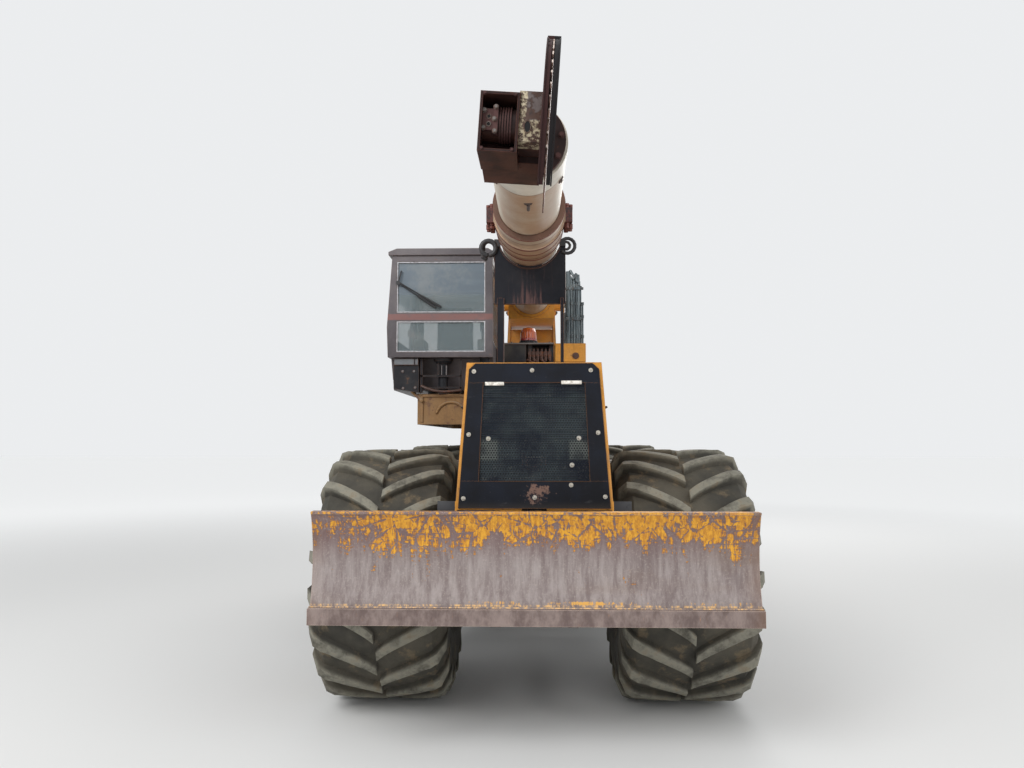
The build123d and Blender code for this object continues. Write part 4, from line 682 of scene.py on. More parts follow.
# Boom tubes: cream fibreglass, darker tan in patches on the faces that point down, with brown stains where
# resin and oil ran, a pale end ring with three dark plugs behind it, and bands of old paint round the
# collars.
PIVOT = Vector((-0.025, front_axle_y + 4.100, 3.173))
BOOM_RISE = math.radians(2.83)
ALONG, RISE_SHARE = math.cos(BOOM_RISE), math.sin(BOOM_RISE)
BOOM_PLACE = Matrix.Translation(PIVOT) @ Matrix.Rotation(BOOM_RISE, 4, "X")
SEAM_REACH = 5.877


def reach(made):
    """Distance forwards from the boom's pivot along its axis."""
    return (PIVOT.y - made.coordinate("Y")) * ALONG + (PIVOT.z - made.coordinate("Z")) * RISE_SHARE


def fibreglass(name, bands):
    """Cream tube finish with coloured bands, each from one reach to another."""
    made = weathered(name, tint(196, 184, 165), tint(136, 102, 80), tint(170, 150, 128),
                     0.42, 0.15, 0.45, 0.5)
    patches = made.noise(4.0, 6.0, 0.7)
    specks = made.noise(60.0, 4.0, 0.7, shift=2.0)
    lengthwise = made.noise(1.0, stretch=(16.0, 1.4, 16.0))
    # Patches on the faces that point down are darker tan.
    below = made.facing_up().step(-0.35, -0.95) * (0.4 + patches).step(0.45, 1.1)
    color = made.layered(
        made.color, (below, tint(158, 126, 100)), (lengthwise.step(0.52, 0.72) * 0.5, tint(166, 130, 104)),
        (specks.step(0.66, 0.74) * 0.8, tint(96, 66, 52)))
    where = reach(made)
    for start, end, band_color in bands:
        inside = where.step(start - 0.002, start + 0.002) * where.step(end + 0.002, end - 0.002)
        old = made.mix(patches.step(0.35, 0.65), darker(band_color, 0.7), band_color)
        color = made.mix(inside * (0.55 + specks).step(0.5, 0.95), color, old)
    ears = (made.coordinate("X") - PIVOT.x).size().step(0.2085, 0.2105)
    ear_color = made.mix(specks.step(0.4, 0.6), tint(92, 48, 42), tint(52, 34, 34))
    return made.set(base_color=made.mix(ears, color, ear_color))


BANDS = {  # from reach, to reach, colour
    "tip_tube": ((SEAM_REACH, 6.08, tint(206, 197, 182)), (SEAM_REACH - 0.008, SEAM_REACH, tint(120, 92, 72)),
                 (4.90, 5.072, tint(120, 92, 74))),
    "mid_tube": ((5.052, 5.065, tint(112, 80, 64)), (4.94, 5.052, tint(190, 170, 148)),
                 (4.926, 4.94, tint(104, 54, 46)), (4.80, 4.926, tint(172, 146, 122)),
                 (4.784, 4.80, tint(94, 44, 40)), (4.64, 4.784, tint(158, 128, 102))),
    "outer_tube": ((4.55, 4.64, tint(160, 130, 102)), (4.535, 4.55, tint(90, 48, 42)),
                   (4.47, 4.535, tint(140, 108, 82)), (3.2, 3.6, tint(170, 142, 110))),
}
for name, bands in BANDS.items():
    dress(name, fibreglass(name, bands))

plugs = bmesh.new()
for degrees, at in ((-58, 5.838), (58, 5.838), (0, 5.735)):
    out = Vector((math.sin(math.radians(degrees)), 0.0, -math.cos(math.radians(degrees))))
    back = Vector((0, -at, 0))
    rod(plugs, 0.024, out * 0.1695 + back, out * 0.176 + back, 3, 0.019)
    rod(plugs, 0.008, out * 0.175 + back, out * 0.181 + back, 6)
rod(plugs, 0.008, (0.0, -5.735, -0.1735), (0.0, -5.640, -0.1735), 8)
bmesh.ops.transform(plugs, matrix=BOOM_PLACE, verts=plugs.verts)
plug_finish = two_tone("dark_plug", 120.0, tint(44, 34, 32), tint(84, 66, 56), 0.55)
piece("tube_plugs", plugs, "boom_tip", plug_finish, smooth=30)

band_steel = weathered("clamp_steel", tint(112, 58, 48), tint(92, 44, 34), tint(128, 96, 78),
                       0.55, 0.7, 0.3, 0.4)
clamps = bmesh.new()
for side in (-1, 1):
    for across, at in ((0.218, 4.675), (0.222, 4.735), (0.218, 4.795), (0.240, 4.705), (0.240, 4.765)):
        rod(clamps, 0.008, (side * across, -at, -0.072), (side * across, -at, 0.072), 10)
        for low in (-0.056, 0.0425, -0.071, 0.0575):
            rod(clamps, 0.0155, (side * across, -at, low), (side * across, -at, low + 0.013), 6)
for start, end, radius in ((4.656, 4.668, 0.2105), (4.812, 4.822, 0.2105), (5.030, 5.050, 0.2015),
                           (4.480, 4.495, 0.2090)):
    place = Matrix.Translation((0, -(start + end) / 2, 0)) @ Matrix.Rotation(math.radians(90), 4, "X")
    made = bmesh.ops.create_cone(clamps, cap_ends=False, segments=64, radius1=radius, radius2=radius,
                                 depth=end - start, matrix=place)
    walls = {face for v in made["verts"] for face in v.link_faces}
    bmesh.ops.solidify(clamps, geom=list(walls), thickness=0.0035)
bmesh.ops.transform(clamps, matrix=BOOM_PLACE, verts=clamps.verts)
piece("collar_clamps", clamps, "boom_mid", band_steel, smooth=30)

# Saw head: an open box of rusted plate with the motor inside, a cream bearing block beside it whose paint
# is chipped to brown, and the disc in a channel guard, all bolted to a red-brown flange.
HEAD_LEAN = math.radians(4.0)
LEVEL, TILT = math.cos(HEAD_LEAN), math.sin(HEAD_LEAN)
HEAD_PLACE = BOOM_PLACE @ Matrix.Rotation(HEAD_LEAN, 4, "Y")
ARBOR = Vector((0.085, -6.438, -0.066))  # in the head's frame, as are the sizes below


def head_place(made):
    """Across and above, in the saw head's own frame."""
    sideways = made.coordinate("X") - PIVOT.x
    above = (PIVOT.y - made.coordinate("Y")) * RISE_SHARE + (made.coordinate("Z") - PIVOT.z) * ALONG
    return sideways * LEVEL - above * TILT, sideways * TILT + above * LEVEL


head_steel = weathered("head_steel", tint(44, 30, 30), tint(92, 54, 42), tint(98, 78, 68),
                       0.45, 0.5, 0.2, 0.6)
under = (head_steel.facing_up() * -1.0).step(0.2, 0.9) * head_steel.noise(9.0, 5.0).step(0.35, 0.6)
head_steel.stain(under * 0.65, tint(82, 52, 44))
head_steel.dull()
guard_steel = weathered("guard_steel", tint(56, 30, 29), tint(42, 26, 26), tint(84, 62, 56),
                        0.45, 0.6, 0.15, 0.5)
guard_steel.stain(head_place(guard_steel)[0].step(0.084, 0.086), tint(24, 21, 23))
guard_steel.dull()
dress("saw_head", head_steel, 0.003)
dress("saw_motor", head_steel, 0.002)
dress("saw_guard", guard_steel, 0.001)

disc = Finish("saw_disc")
from_hub = disc.node("ShaderNodeVectorMath", {"operation": "DISTANCE"},
                     [disc.place(), tuple(HEAD_PLACE @ ARBOR)], "Value")
resin = disc.noise(14.0, 6.0, 0.68)
swirl = disc.noise(90.0, 3.0)
turn = (head_place(disc)[1] - ARBOR.z).math("ARCTAN2", reach(disc) + ARBOR.y)
tooth_tip = from_hub.step(0.294, 0.297) * (turn * 44.0).math("SINE").step(0.1, 0.5)
color = disc.layered(tint(66, 46, 40), (resin.step(0.35, 0.65), tint(118, 88, 72)),
                     (tooth_tip * turn.step(-0.7, -0.5), tint(206, 190, 180)))
disc.set(base_color=color, roughness=0.35 + swirl * 0.3, metallic=0.35)
disc.bump(resin + swirl * 0.3, 0.0008)
dress("saw_disc", disc, 0.0)

chipped = Finish("chipped_cream")
place = chipped.noise(24.0, 8.0, 0.75)
worn_places = chipped.noise(9.0, 5.0, 0.65, shift=4.0)
gone = (place * 0.6 + worn_places * 0.4 + chipped.edges(0.01) * 0.12).step(0.50, 0.53)
face_across, face_above = head_place(chipped)
ragged = (place - 0.5) * 0.05
bare = (face_across + ragged).step(-0.004, 0.004) * (face_above + ragged).step(-0.078, -0.066)
color = chipped.layered(
    tint(196, 184, 156), (chipped.noise(70.0).step(0.4, 0.7), tint(158, 142, 114)),
    (bare, chipped.mix(place.step(0.4, 0.65), tint(104, 94, 92), tint(72, 60, 58))),
    (gone, chipped.mix(place.step(0.5, 0.7), tint(78, 54, 44), tint(46, 34, 32))))
chipped.set(base_color=color, roughness=0.6)
chipped.bump(gone * -1.0 + place * 0.3, 0.0012)
worn_steel = weathered("worn_steel", tint(112, 108, 106), tint(92, 66, 52), tint(132, 120, 108),
                       0.45, 0.4, 0.3, 0.2)
# Near black: the real black of the motor's hoses, and painted shade in the bearing slot and the motor's
# ports, which are thin discs on the faces.
black_and_hole_shade = Finish("black_and_hole_shade").set(base_color=(0.006, 0.006, 0.007), roughness=0.85)


def head_piece(name, mesh, finish):
    """A piece whose mesh is laid out in the head's own frame."""
    bmesh.ops.transform(mesh, matrix=HEAD_PLACE, verts=mesh.verts)
    piece(name, mesh, "saw_head", finish, 30)


def box(mesh, low, high):
    """A block between two corners."""
    low, high = Vector(low), Vector(high)
    size = high - low
    place = Matrix.Translation((low + high) / 2) @ Matrix.Diagonal((size.x, size.y, size.z, 1.0))
    return bmesh.ops.create_cube(mesh, size=1.0, matrix=place)["verts"]


def arc(center, radius, start, end, steps, tall=None):
    """Points round a center in the plane that faces the camera, angles in degrees from +X upwards."""
    turns = [math.radians(start + (end - start) * k / steps) for k in range(steps + 1)]
    return [Vector(center) + Vector((radius * math.cos(a), 0.0, (tall or radius) * math.sin(a)))
            for a in turns]


face = bmesh.new()
box(face, (-0.0258, -6.5225, -0.1468), (0.0592, -6.440, 0.0388))
round_edges(face, 0.004)
head_piece("bearing_cover", face, chipped)
# The slot is a thin black disc on the cover's face: painted shade for its depth.
hole = bmesh.new()
oval = rod(hole, 0.019, (0.010, -6.5235, -0.092), (0.010, -6.5215, -0.092), 28)
bmesh.ops.scale(hole, verts=oval, vec=(0.60, 1.0, 1.10), space=Matrix.Translation((-0.010, 0.0, 0.092)))
head_piece("bearing_slot", hole, black_and_hole_shade)
rim_of_hole = bmesh.new()
bent_bar(rim_of_hole, 0.0026, arc((0.010, -6.5225, -0.092), 0.0125, 0, 360, 20, 0.022), 6)
head_piece("bearing_slot_rim", rim_of_hole, chipped)

motor = bmesh.new()
box(motor, (-0.1558, -6.505, -0.105), (-0.118, -6.44, -0.027))
box(motor, (-0.118, -6.511, -0.116), (-0.098, -6.44, -0.016))
for k in range(5):
    rod(motor, 0.0685, (-0.094 + 0.0095 * k, *ARBOR.yz), (-0.0885 + 0.0095 * k, *ARBOR.yz), 40)
rod(motor, 0.050, (-0.050, *ARBOR.yz), (-0.0325, *ARBOR.yz), 32)
box(motor, (-0.165, -6.372, -0.188), (-0.023, -6.368, 0.027))
motor_paint = weathered("motor_paint", tint(88, 60, 58), tint(56, 38, 36), tint(112, 88, 80),
                        0.5, 0.6, 0.2, 0.3)
motor_paint.dull()
head_piece("motor_body", motor, motor_paint)
studs, ports = bmesh.new(), bmesh.new()
for across, above, front in ((-0.150, -0.034, -6.505), (-0.150, -0.098, -6.505), (-0.108, -0.022, -6.511),
                             (-0.108, -0.110, -6.511), (-0.112, -0.066, -6.511)):
    bolt(studs, (across, front, above), (0, -1, 0), 0.013, 0.006)
# The ports are black discs inside their rings: painted shade for their openings.
for above in (-0.056, -0.084):
    bent_bar(studs, 0.0022, arc((-0.132, -6.506, above), 0.008, 0, 360, 12), 6)
    rod(ports, 0.008, (-0.132, -6.5062, above), (-0.132, -6.503, above), 16)
head_piece("motor_studs", studs, worn_steel)
head_piece("motor_ports", ports, black_and_hole_shade)
for side, left, right in (("left", 0.0655, 0.0795), ("right", 0.0905, 0.1045)):
    strip = bmesh.new()
    first = math.radians(-57)
    section = [strip.verts.new((x, ARBOR.y - r * math.cos(first), ARBOR.z + r * math.sin(first)))
               for x, r in ((left, 0.295), (right, 0.295), (right, 0.303), (left, 0.303))]
    bmesh.ops.spin(strip, geom=section + closed_loop(strip, section), cent=ARBOR, axis=(1, 0, 0),
                   angle=-math.radians(150), steps=60)
    bmesh.ops.holes_fill(strip, edges=[e for e in strip.edges if e.is_boundary])
    outward(strip)
    head_piece("guard_lip_" + side, strip, guard_steel)
ring_of_bolts = bmesh.new()
for k in range(10):
    turn = 2 * math.pi * (k + 0.35) / 10
    bolt(ring_of_bolts, (0.142 * math.cos(turn), -6.1053, 0.142 * math.sin(turn)), (0, -1, 0), 0.020, 0.011)
for above in (0.020, -0.180):
    for across in (-0.150, -0.040):
        bolt(ring_of_bolts, (across, -6.5295, above), (0, -1, 0), 0.010, 0.004)
head_piece("flange_bolts", ring_of_bolts, motor_paint)
lines = bmesh.new()
for across, rise in ((-0.140, 0.0116), (-0.060, 0.0096)):
    bent_bar(lines, 0.011, [(across, -6.40, -0.02), (across, -6.36, 0.012), (across + 0.01, -6.31, rise)])
head_piece("motor_lines", lines, black_and_hole_shade)

# Boom rest: a black cradle plate scraped to rust in the middle, with forged hooks on its two horns. It
# stands for the solid without that one's upper brace, which would hide the beacon.
rest_steel = weathered("rest_steel", tint(21, 23, 31), tint(88, 60, 54), tint(84, 80, 76),
                       0.42, 0.25, 0.25, 0.3, tint(120, 84, 68))
scraped = rest_steel.noise(1.0, 6.0, 0.7, stretch=(26.0, 26.0, 2.0), shift=6.0)
low_rust = rest_steel.coordinate("Z").step(2.66, 2.54) * 0.12
central = (rest_steel.coordinate("X") + 0.03).size().step(0.22, 0.02) * 0.35
streaks = (central + scraped * 1.3 + low_rust).step(0.98, 1.2)
rest_steel.stain(streaks * 0.6, tint(104, 76, 72))
rest_steel.dull()
rest_low, rest_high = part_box("boom_rest")
rest_middle = (rest_low.y + rest_high.y) / 2
axis_place = (PIVOT.x, 0.0, rest_high.z + 0.010)
CRADLE_RADIUS = 0.2104
rest = bmesh.new()


def upright_plate(corners, half):
    """A plate across the machine from (x, z) corners or points, half its thickness either way."""
    slab(rest, [(corner[0], rest_middle - half, corner[-1]) for corner in corners], (0, 2 * half, 0))


left, right, foot = rest_low.x + KEEP, rest_high.x - KEEP, 2.5226
hollow = arc(axis_place, CRADLE_RADIUS, 183, 357, 40)
horn = rest_high.z - KEEP
upright_plate([(left, foot), (left, horn), *hollow, (right, horn), (right, foot)], 0.0145)
for start, end, steps, deep, half in ((246, 294, 12, 0.0158, 0.034), (200, 340, 30, 0.0075, 0.030)):
    strip = arc(axis_place, CRADLE_RADIUS + 0.001, start, end, steps)
    upright_plate(strip + arc(axis_place, CRADLE_RADIUS - deep, end, start, steps), half)
for left, right in ((-0.2395, -0.1955), (0.1755, 0.1945)):
    box(rest, (left, rest_low.y + 0.001, rest_low.z + 0.001), (right, rest_high.y - 0.001, 2.560))
box(rest, (-0.196, rest_middle - 0.0145, 1.951), (0.176, rest_middle + 0.0145, 1.999))
outward(rest)
cradle = piece("boom_cradle", rest, "chassis", rest_steel)
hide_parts("boom_rest")
rest_front = front_axle_y - 0.095
hooks = bmesh.new()
for radius, middle, bend, start, end, steps, sides in (
        (0.017, (-0.298, -0.004, 2.895), 0.048, -75, 255, 14, 12),
        (0.012, (-0.290, 0.034, 2.905), 0.046, -60, 200, 12, 10),
        (0.0115, (0.222, 0.0, 2.908), 0.050, 150, -130, 12, 10),
        (0.009, (0.214, 0.012, 2.912), 0.026, 170, -150, 8, 8)):
    bent_bar(hooks, radius, arc(Vector(middle) + Vector((0, rest_front, 0)), bend, start, end, steps), sides)
bent_bar(hooks, 0.016, [(-0.335, rest_front + 0.01, 2.93), (-0.335, rest_front + 0.01, 2.84),
                        (-0.318, rest_front + 0.012, 2.83)])
for across in (PIVOT.x - 0.215, PIVOT.x + 0.215):
    box(hooks, (across - 0.020, rest_front - 0.012, 2.905), (across + 0.020, rest_front + 0.034, 2.950))
hook_steel = weathered("hook_steel", tint(30, 30, 34), tint(70, 50, 42), tint(86, 80, 74),
                       0.45, 0.3, 0.2, 0.1)
piece("rest_hooks", hooks, "chassis", hook_steel, smooth=40)

# Mast and boom root: thick yellow plate with rust at its seams, the pivot's end caps bolted on, and a
# bent plate between the mast's cheeks that closes the view behind the beacon.
yellow_paint = weathered("yellow_paint", YELLOW, RUST, DUST, 0.5, 0.35, 0.4, 0.35)
dress("boom_base mast", yellow_paint, 0.004)
caps = bmesh.new()
for side in (-1, 1):
    across = PIVOT.x + side * 0.2885
    rod(caps, 0.055, (across - side * 0.004, *PIVOT.yz), (across + side * 0.010, *PIVOT.yz), 32)
    for k in range(4):
        turn = math.pi * (k + 0.5) / 2
        seat = (across + side * 0.010, PIVOT.y + 0.036 * math.cos(turn), PIVOT.z + 0.036 * math.sin(turn))
        bolt(caps, seat, (side, 0, 0), 0.018, 0.008)
piece("pivot_caps", caps, "boom", worn_steel, smooth=35)
CHEEK_INSIDE = 0.2430
cover = bmesh.new()
line = [Vector((PIVOT.x, y, z)) for y, z in ((2.020, 2.255), (2.430, 2.620), (2.702, 2.888))]
for shift in (0.0, 0.006):
    for side in (-1, 1):
        for point in line:
            cover.verts.new(point + Vector((side * (CHEEK_INSIDE - 0.0005), shift, -shift)))
cover.verts.ensure_lookup_table()
for k in range(2):
    for first, second in ((0, 3), (6, 9), (0, 6), (3, 9)):
        cover.faces.new([cover.verts[k + n] for n in (first, first + 1, second + 1, second)])
bmesh.ops.holes_fill(cover, edges=[e for e in cover.edges if e.is_boundary])
outward(cover)
facing = Vector((0.0, -0.365, 0.410)).normalized()
for side in (-1, 1):
    for share in (0.12, 0.5, 0.88):
        place = line[0].lerp(line[1], share) + Vector((side * (CHEEK_INSIDE - 0.028), 0.0, 0.0))
        bolt(cover, place, facing, 0.020, 0.009)
piece("mast_cover", cover, "turret", yellow_paint)
dress("lift_barrels", weathered("ram_paint", tint(84, 92, 98), RUST, DUST, 0.45, 0.4, 0.4, 0.3), 0.002)
dress("blade_cylinder_barrel", black_steel, 0.002)
chrome = Finish("chromed_rod")
chrome.set(base_color=(0.62, 0.63, 0.65), roughness=0.16 + chrome.noise(40.0) * 0.12, metallic=1.0)
dress("lift_rods blade_cylinder_rod", chrome, 0.0)

# Beacon shelf: a ribbed amber beacon on its black foot, the valve bank under it with its pipes, and the
# yellow bracket with the tower of grey-blue pipes beside them.
beacon_low, beacon_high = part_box("warning_beacon")
beacon_middle = (beacon_low + beacon_high) / 2
beacon = Finish("amber_beacon")
east = beacon.coordinate("X") - beacon_middle.x
north = beacon.coordinate("Y") - beacon_middle.y
height = beacon.coordinate("Z") - beacon_low.z
ribs = (north.math("ARCTAN2", east) * 28.0).math("SINE")
foot = height.step(0.036, 0.034)
# The upper part of the dome is painted lighter, as a painted highlight.
color = beacon.layered(
    tint(150, 52, 6), (ribs.step(-0.6, 0.9), tint(222, 100, 14)),
    (height.step(0.12, 0.16) * 0.35, tint(240, 140, 44)), (height.step(0.062, 0.050), tint(150, 32, 16)),
    (foot, tint(22, 22, 26)))
beacon.set(base_color=color, roughness=0.14 + foot * 0.5, coat_weight=0.5 - foot * 0.5)
beacon.bump(ribs, 0.0015)
dress("warning_beacon", beacon, 0.0, 40)
dress("valve_frame", black_steel, 0.002)
shelf_low, shelf_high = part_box("valve_frame")
front = shelf_low.y
strip = bmesh.new()
box(strip, (shelf_low.x + 0.002, front - 0.0015, shelf_high.z - 0.012),
    (shelf_high.x - 0.002, front + 0.004, shelf_high.z + 0.0012))
round_edges(strip, 0.0015)
for across in (-0.30, -0.20, 0.0, 0.14):
    bolt(strip, (across, front + 0.02, shelf_high.z), (0, 0, 1), 0.016, 0.007)
piece("shelf_edge", strip, "turret", worn_steel)
shelf_back = bmesh.new()
box(shelf_back, (-0.075, front + 0.20, 2.300), (0.178, front + 0.21, 2.497))
for k in range(3):
    box(shelf_back, (-0.072 + 0.115 * k, front + 0.185, 2.305), (-0.060 + 0.115 * k, front + 0.205, 2.495))
for k in range(4):
    bolt(shelf_back, (-0.045 + 0.064 * k, front + 0.20, 2.478), (0, -1, 0), 0.014, 0.006)
piece("shelf_back", shelf_back, "turret", black_steel)
oily = weathered("oily_rust", tint(72, 44, 34), tint(112, 62, 38), tint(110, 88, 68), 0.45, 0.8, 0.3, 0.5)
valves = bmesh.new()
front += 0.035
for k in range(6):
    left = -0.052 + 0.036 * k
    middle = left + 0.015
    box(valves, (left, front, 2.352), (left + 0.030, front + 0.14, 2.425))
    rod(valves, 0.010, (middle, front + 0.03, 2.42), (middle, front + 0.03, 2.452), 12)
    bent_bar(valves, 0.008, [(middle, front + 0.002, 2.385), (middle, front - 0.022, 2.380),
                             (left + 0.017, front - 0.024, 2.34)], 8)
    rod(valves, 0.012, (middle, front - 0.006, 2.385), (middle, front + 0.002, 2.385), 6)
for k in range(3):
    bent_bar(valves, 0.010, [(-0.06 + 0.07 * k, front - 0.02, 2.345),
                             (0.06 * k, front - 0.022, 2.322 - 0.014 * k),
                             (0.12, front - 0.01, 2.30 - 0.018 * k)], 8)
piece("valve_bank", valves, "turret", oily, smooth=35)
dress("tower_bracket", yellow_paint, 0.004)
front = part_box("tower_bracket")[0].y
pin = bmesh.new()
rod(pin, 0.030, (0.378, front - 0.010, 2.385), (0.378, front + 0.004, 2.385), 28)
rod(pin, 0.019, (0.378, front - 0.016, 2.385), (0.378, front + 0.004, 2.385), 24)
piece("bracket_pin", pin, "turret", oily, smooth=35)
pipe_paint = weathered("pipe_paint", tint(92, 106, 112), tint(92, 74, 62), tint(150, 152, 146),
                       0.4, 0.3, 0.6, 0.2)
# Dark streaks between the pipes are painted shade, and pale streaks on them are painted highlights.
hose_shade_and_highlights = pipe_paint.noise(1.0, 3.0, 0.6, stretch=(75.0, 75.0, 2.2), shift=5.0)
pipe_paint.stain(hose_shade_and_highlights.step(0.50, 0.58) * 0.8, tint(34, 42, 48))
pipe_paint.stain(hose_shade_and_highlights.step(0.40, 0.34) * 0.5, tint(150, 160, 164))
dress("hose_tower", pipe_paint, 0.001)
pipes = bmesh.new()
middle = beacon_middle.y
for across, shift, top in ((0.298, 0.012, 2.90), (0.345, -0.020, 3.13), (0.394, -0.012, 3.16),
                           (0.432, 0.008, 3.03), (0.449, -0.006, 2.88)):
    y = middle + shift
    rod(pipes, 0.0085, (across, y, 2.501), (across, y, top), 12)
    for joint in (2.56, 2.745, 2.865, 3.02):
        if joint < top:
            rod(pipes, 0.0145, (across, y, joint), (across, y, joint + 0.026), 6)
for across, top, lean in ((0.320, 3.178, 0.02), (0.372, 3.12, 0.012), (0.410, 3.148, -0.022)):
    rod(pipes, 0.022, (across, middle, top - 0.10), (across, middle, top - 0.06), 8)
    bent_bar(pipes, 0.012, [(across, middle, top - 0.01), (across + lean, middle - 0.02, top + 0.004),
                            (across + lean * 2.2, middle - 0.03, top - 0.04)])
for level, half in ((2.745, 0.022), (3.024, 0.018)):
    box(pipes, (0.292, middle - 0.030, level - half), (0.457, middle - 0.018, level + half * 0.3))
    for across in (0.31, 0.36, 0.44):
        bolt(pipes, (across, middle - 0.030, level - half * 0.4), (0, -1, 0), 0.014, 0.006)
piece("tower_pipes", pipes, "turret", pipe_paint, smooth=35)

# Cab: a dark dusty frame round tinted glass, pale seals inside the openings, a red-brown rail between the
# two front panes, a pair of wiper arms, the door's handle and hinges, and what hangs under the floor.
cab_low, cab_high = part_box("cab_shell")
cab_paint = weathered("cab_paint", tint(84, 78, 82), tint(104, 80, 74), tint(140, 132, 128),
                      0.5, 0.45, 0.5, 0.35, tint(128, 108, 98))
rail_wear = (0.5 + cab_paint.noise(18.0, 6.0, 0.7, shift=3.0)).step(0.7, 1.0)
rail = cab_paint.coordinate("Z").band(2.645, 0.022, 0.006) * rail_wear
cab_paint.stain(rail, tint(122, 84, 80))
dress("cab_shell cab_roof cab_door", cab_paint, 0.004)
glass = Finish("dusty_glass")
film = glass.noise(3.0, 6.0, 0.7)
wipe = glass.noise(1.0, stretch=(3.0, 3.0, 14.0), shift=2.0)
shade = glass.coordinate("Z").step(2.80, 2.86)
color = glass.layered(tint(132, 146, 150), (shade * 0.8, tint(112, 124, 136)),
                      (film.step(0.5, 0.7) * 0.3, tint(168, 168, 162)))
glass.set(base_color=color, roughness=0.10 + film * 0.22,
          alpha=0.36 + shade * 0.36 + wipe.step(0.45, 0.75) * 0.10)
dress("cab_glazing door_glass", glass, 0.0)

pale_seal = two_tone("grey_seal", 50.0, tint(196, 196, 200), tint(140, 136, 140), 0.6)
front = cab_low.y
seals = bmesh.new()
left, right = cab_low.x + 0.086, cab_high.x - 0.066
for low, high in ((2.686, 3.104), (2.358, 2.604)):
    corners = ((left, low), (right, low), (right, high), (left, high), (left, low))
    bent_bar(seals, 0.0052, [(x, front + 0.006, z) for x, z in corners], 8)
piece("front_seals", seals, "turret", pale_seal, smooth=40)

rubber_black = two_tone("black_plastic", 90.0, tint(24, 24, 28), tint(48, 46, 46), 0.5)
wiper = bmesh.new()
wiper_front = front - 0.012
pivot = Vector((-1.128, wiper_front, 2.930))
for shift in (0.0, 0.026):
    tip = Vector((-0.815 + shift * 1.6, wiper_front - 0.004, 2.722 + shift * 0.2))
    bent_bar(wiper, 0.0055, [pivot + Vector((0, 0, shift * 0.3)), tip], 8)
    bent_bar(wiper, 0.0105, [pivot.lerp(tip, 0.55), tip], 8)
rod(wiper, 0.018, (pivot.x, front + 0.002, pivot.z), (pivot.x, wiper_front - 0.006, pivot.z), 20)
bent_bar(wiper, 0.006, [pivot, (-1.118, wiper_front, 2.96), (-1.102, front - 0.004, 3.03)], 8)
piece("wiper_arms", wiper, "turret", rubber_black, smooth=40)

trim = bmesh.new()
fore, aft, low, high = front + 0.095, cab_high.y - 0.095, 2.456, 3.094
corners = ((fore, low), (aft, low), (aft, high), (fore, high), (fore, low))
bent_bar(trim, 0.005, [(cab_high.x - 0.006, y, z) for y, z in corners], 8)
gutter = cab_high.z + 0.010
for across in (cab_low.x + 0.014, cab_high.x + 0.004):
    rod(trim, 0.005, (across, front - 0.018, gutter), (across, cab_high.y + 0.008, gutter), 8)
piece("side_seals", trim, "turret", pale_seal, smooth=40)

door_low, door_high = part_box("cab_door")
handle = bmesh.new()
x, y, hinge_y = door_low.x, door_low.y + 0.075, door_high.y - 0.014
bent_bar(handle, 0.0075, [(x + 0.004, y, 2.66), (x - 0.0005, y, 2.655), (x - 0.0005, y, 2.54),
                          (x + 0.004, y, 2.535)])
rod(handle, 0.020, (x + 0.004, y, 2.70), (x - 0.002, y, 2.70), 24)
rod(handle, 0.009, (x, y, 2.70), (x - 0.006, y, 2.70), 16)
for above in (2.25, 2.92):
    rod(handle, 0.010, (x + 0.006, hinge_y, above), (x + 0.006, hinge_y, above + 0.11), 16)
    for k in range(3):
        bolt(handle, (x + 0.001, door_high.y - 0.050, above + 0.020 + 0.035 * k), (-1, 0, 0), 0.012, 0.003)
piece("door_fittings", handle, "cab_door", rubber_black, smooth=40)

mounts = weathered("mount_steel", tint(32, 33, 38), tint(92, 66, 52), tint(116, 112, 106),
                   0.5, 0.4, 0.4, 0.3)
mounts.dull()
dress("cab_mounts", mounts, 0.003)
under = bmesh.new()
front = cab_low.y + 0.030
box(under, (-1.165, front, 2.245), (-0.958, front + 0.10, 2.302))
for v in box(under, (-1.165, front + 0.01, 2.020), (-0.955, front + 0.15, 2.243)):
    if v.co.z < 2.1 and v.co.x < -1.1:
        v.co.z += 0.03
for left, right, low, high in ((-0.945, -0.600, 2.150, 2.166), (-0.920, -0.600, 2.052, 2.066),
                               (-0.945, -0.925, 2.02, 2.30), (-0.615, -0.598, 2.02, 2.30)):
    box(under, (left, front + 0.02, low), (right, front + 0.045, high))
rod(under, 0.080, (-0.760, front + 0.080, 2.286), (-0.760, front + 0.080, 2.304), 28)
rod(under, 0.055, (-0.760, front + 0.080, 2.262), (-0.760, front + 0.080, 2.287), 28, 0.078)
box(under, (-0.80, front + 0.005, 2.17), (-0.788, front + 0.02, 2.26))
piece("cab_underframe", under, "turret", mounts, smooth=35)
pale = bmesh.new()
for left, right in ((-1.160, -0.995), (-0.985, -0.962)):
    box(pale, (left, front - 0.003, 2.250), (right, front, 2.298))
for across, above in ((-1.09, 2.195), (-0.995, 2.195), (-1.085, 2.055), (-0.985, 2.06)):
    bolt(pale, (across, front + 0.010, above), (0, -1, 0), 0.016, 0.007)
for across in (-0.792, -0.768, -0.728):
    rod(pale, 0.006, (across, front + 0.030, 2.16), (across, front + 0.030, 2.245), 8)
grey_plate = weathered("grey_plate", tint(108, 112, 116), RUST, DUST, 0.5, 0.3, 0.4, 0.2)
piece("underframe_plates", pale, "turret", grey_plate, smooth=35)
droop = bmesh.new()
bent_bar(droop, 0.011, [(x, front + y, z) for x, y, z in (
    (-0.930, 0.0, 2.072), (-0.885, -0.01, 2.052), (-0.82, -0.014, 2.032), (-0.75, -0.014, 2.024),
    (-0.68, -0.01, 2.027), (-0.61, 0.0, 2.036))])
piece("underframe_pipe", droop, "turret", oily, smooth=50)

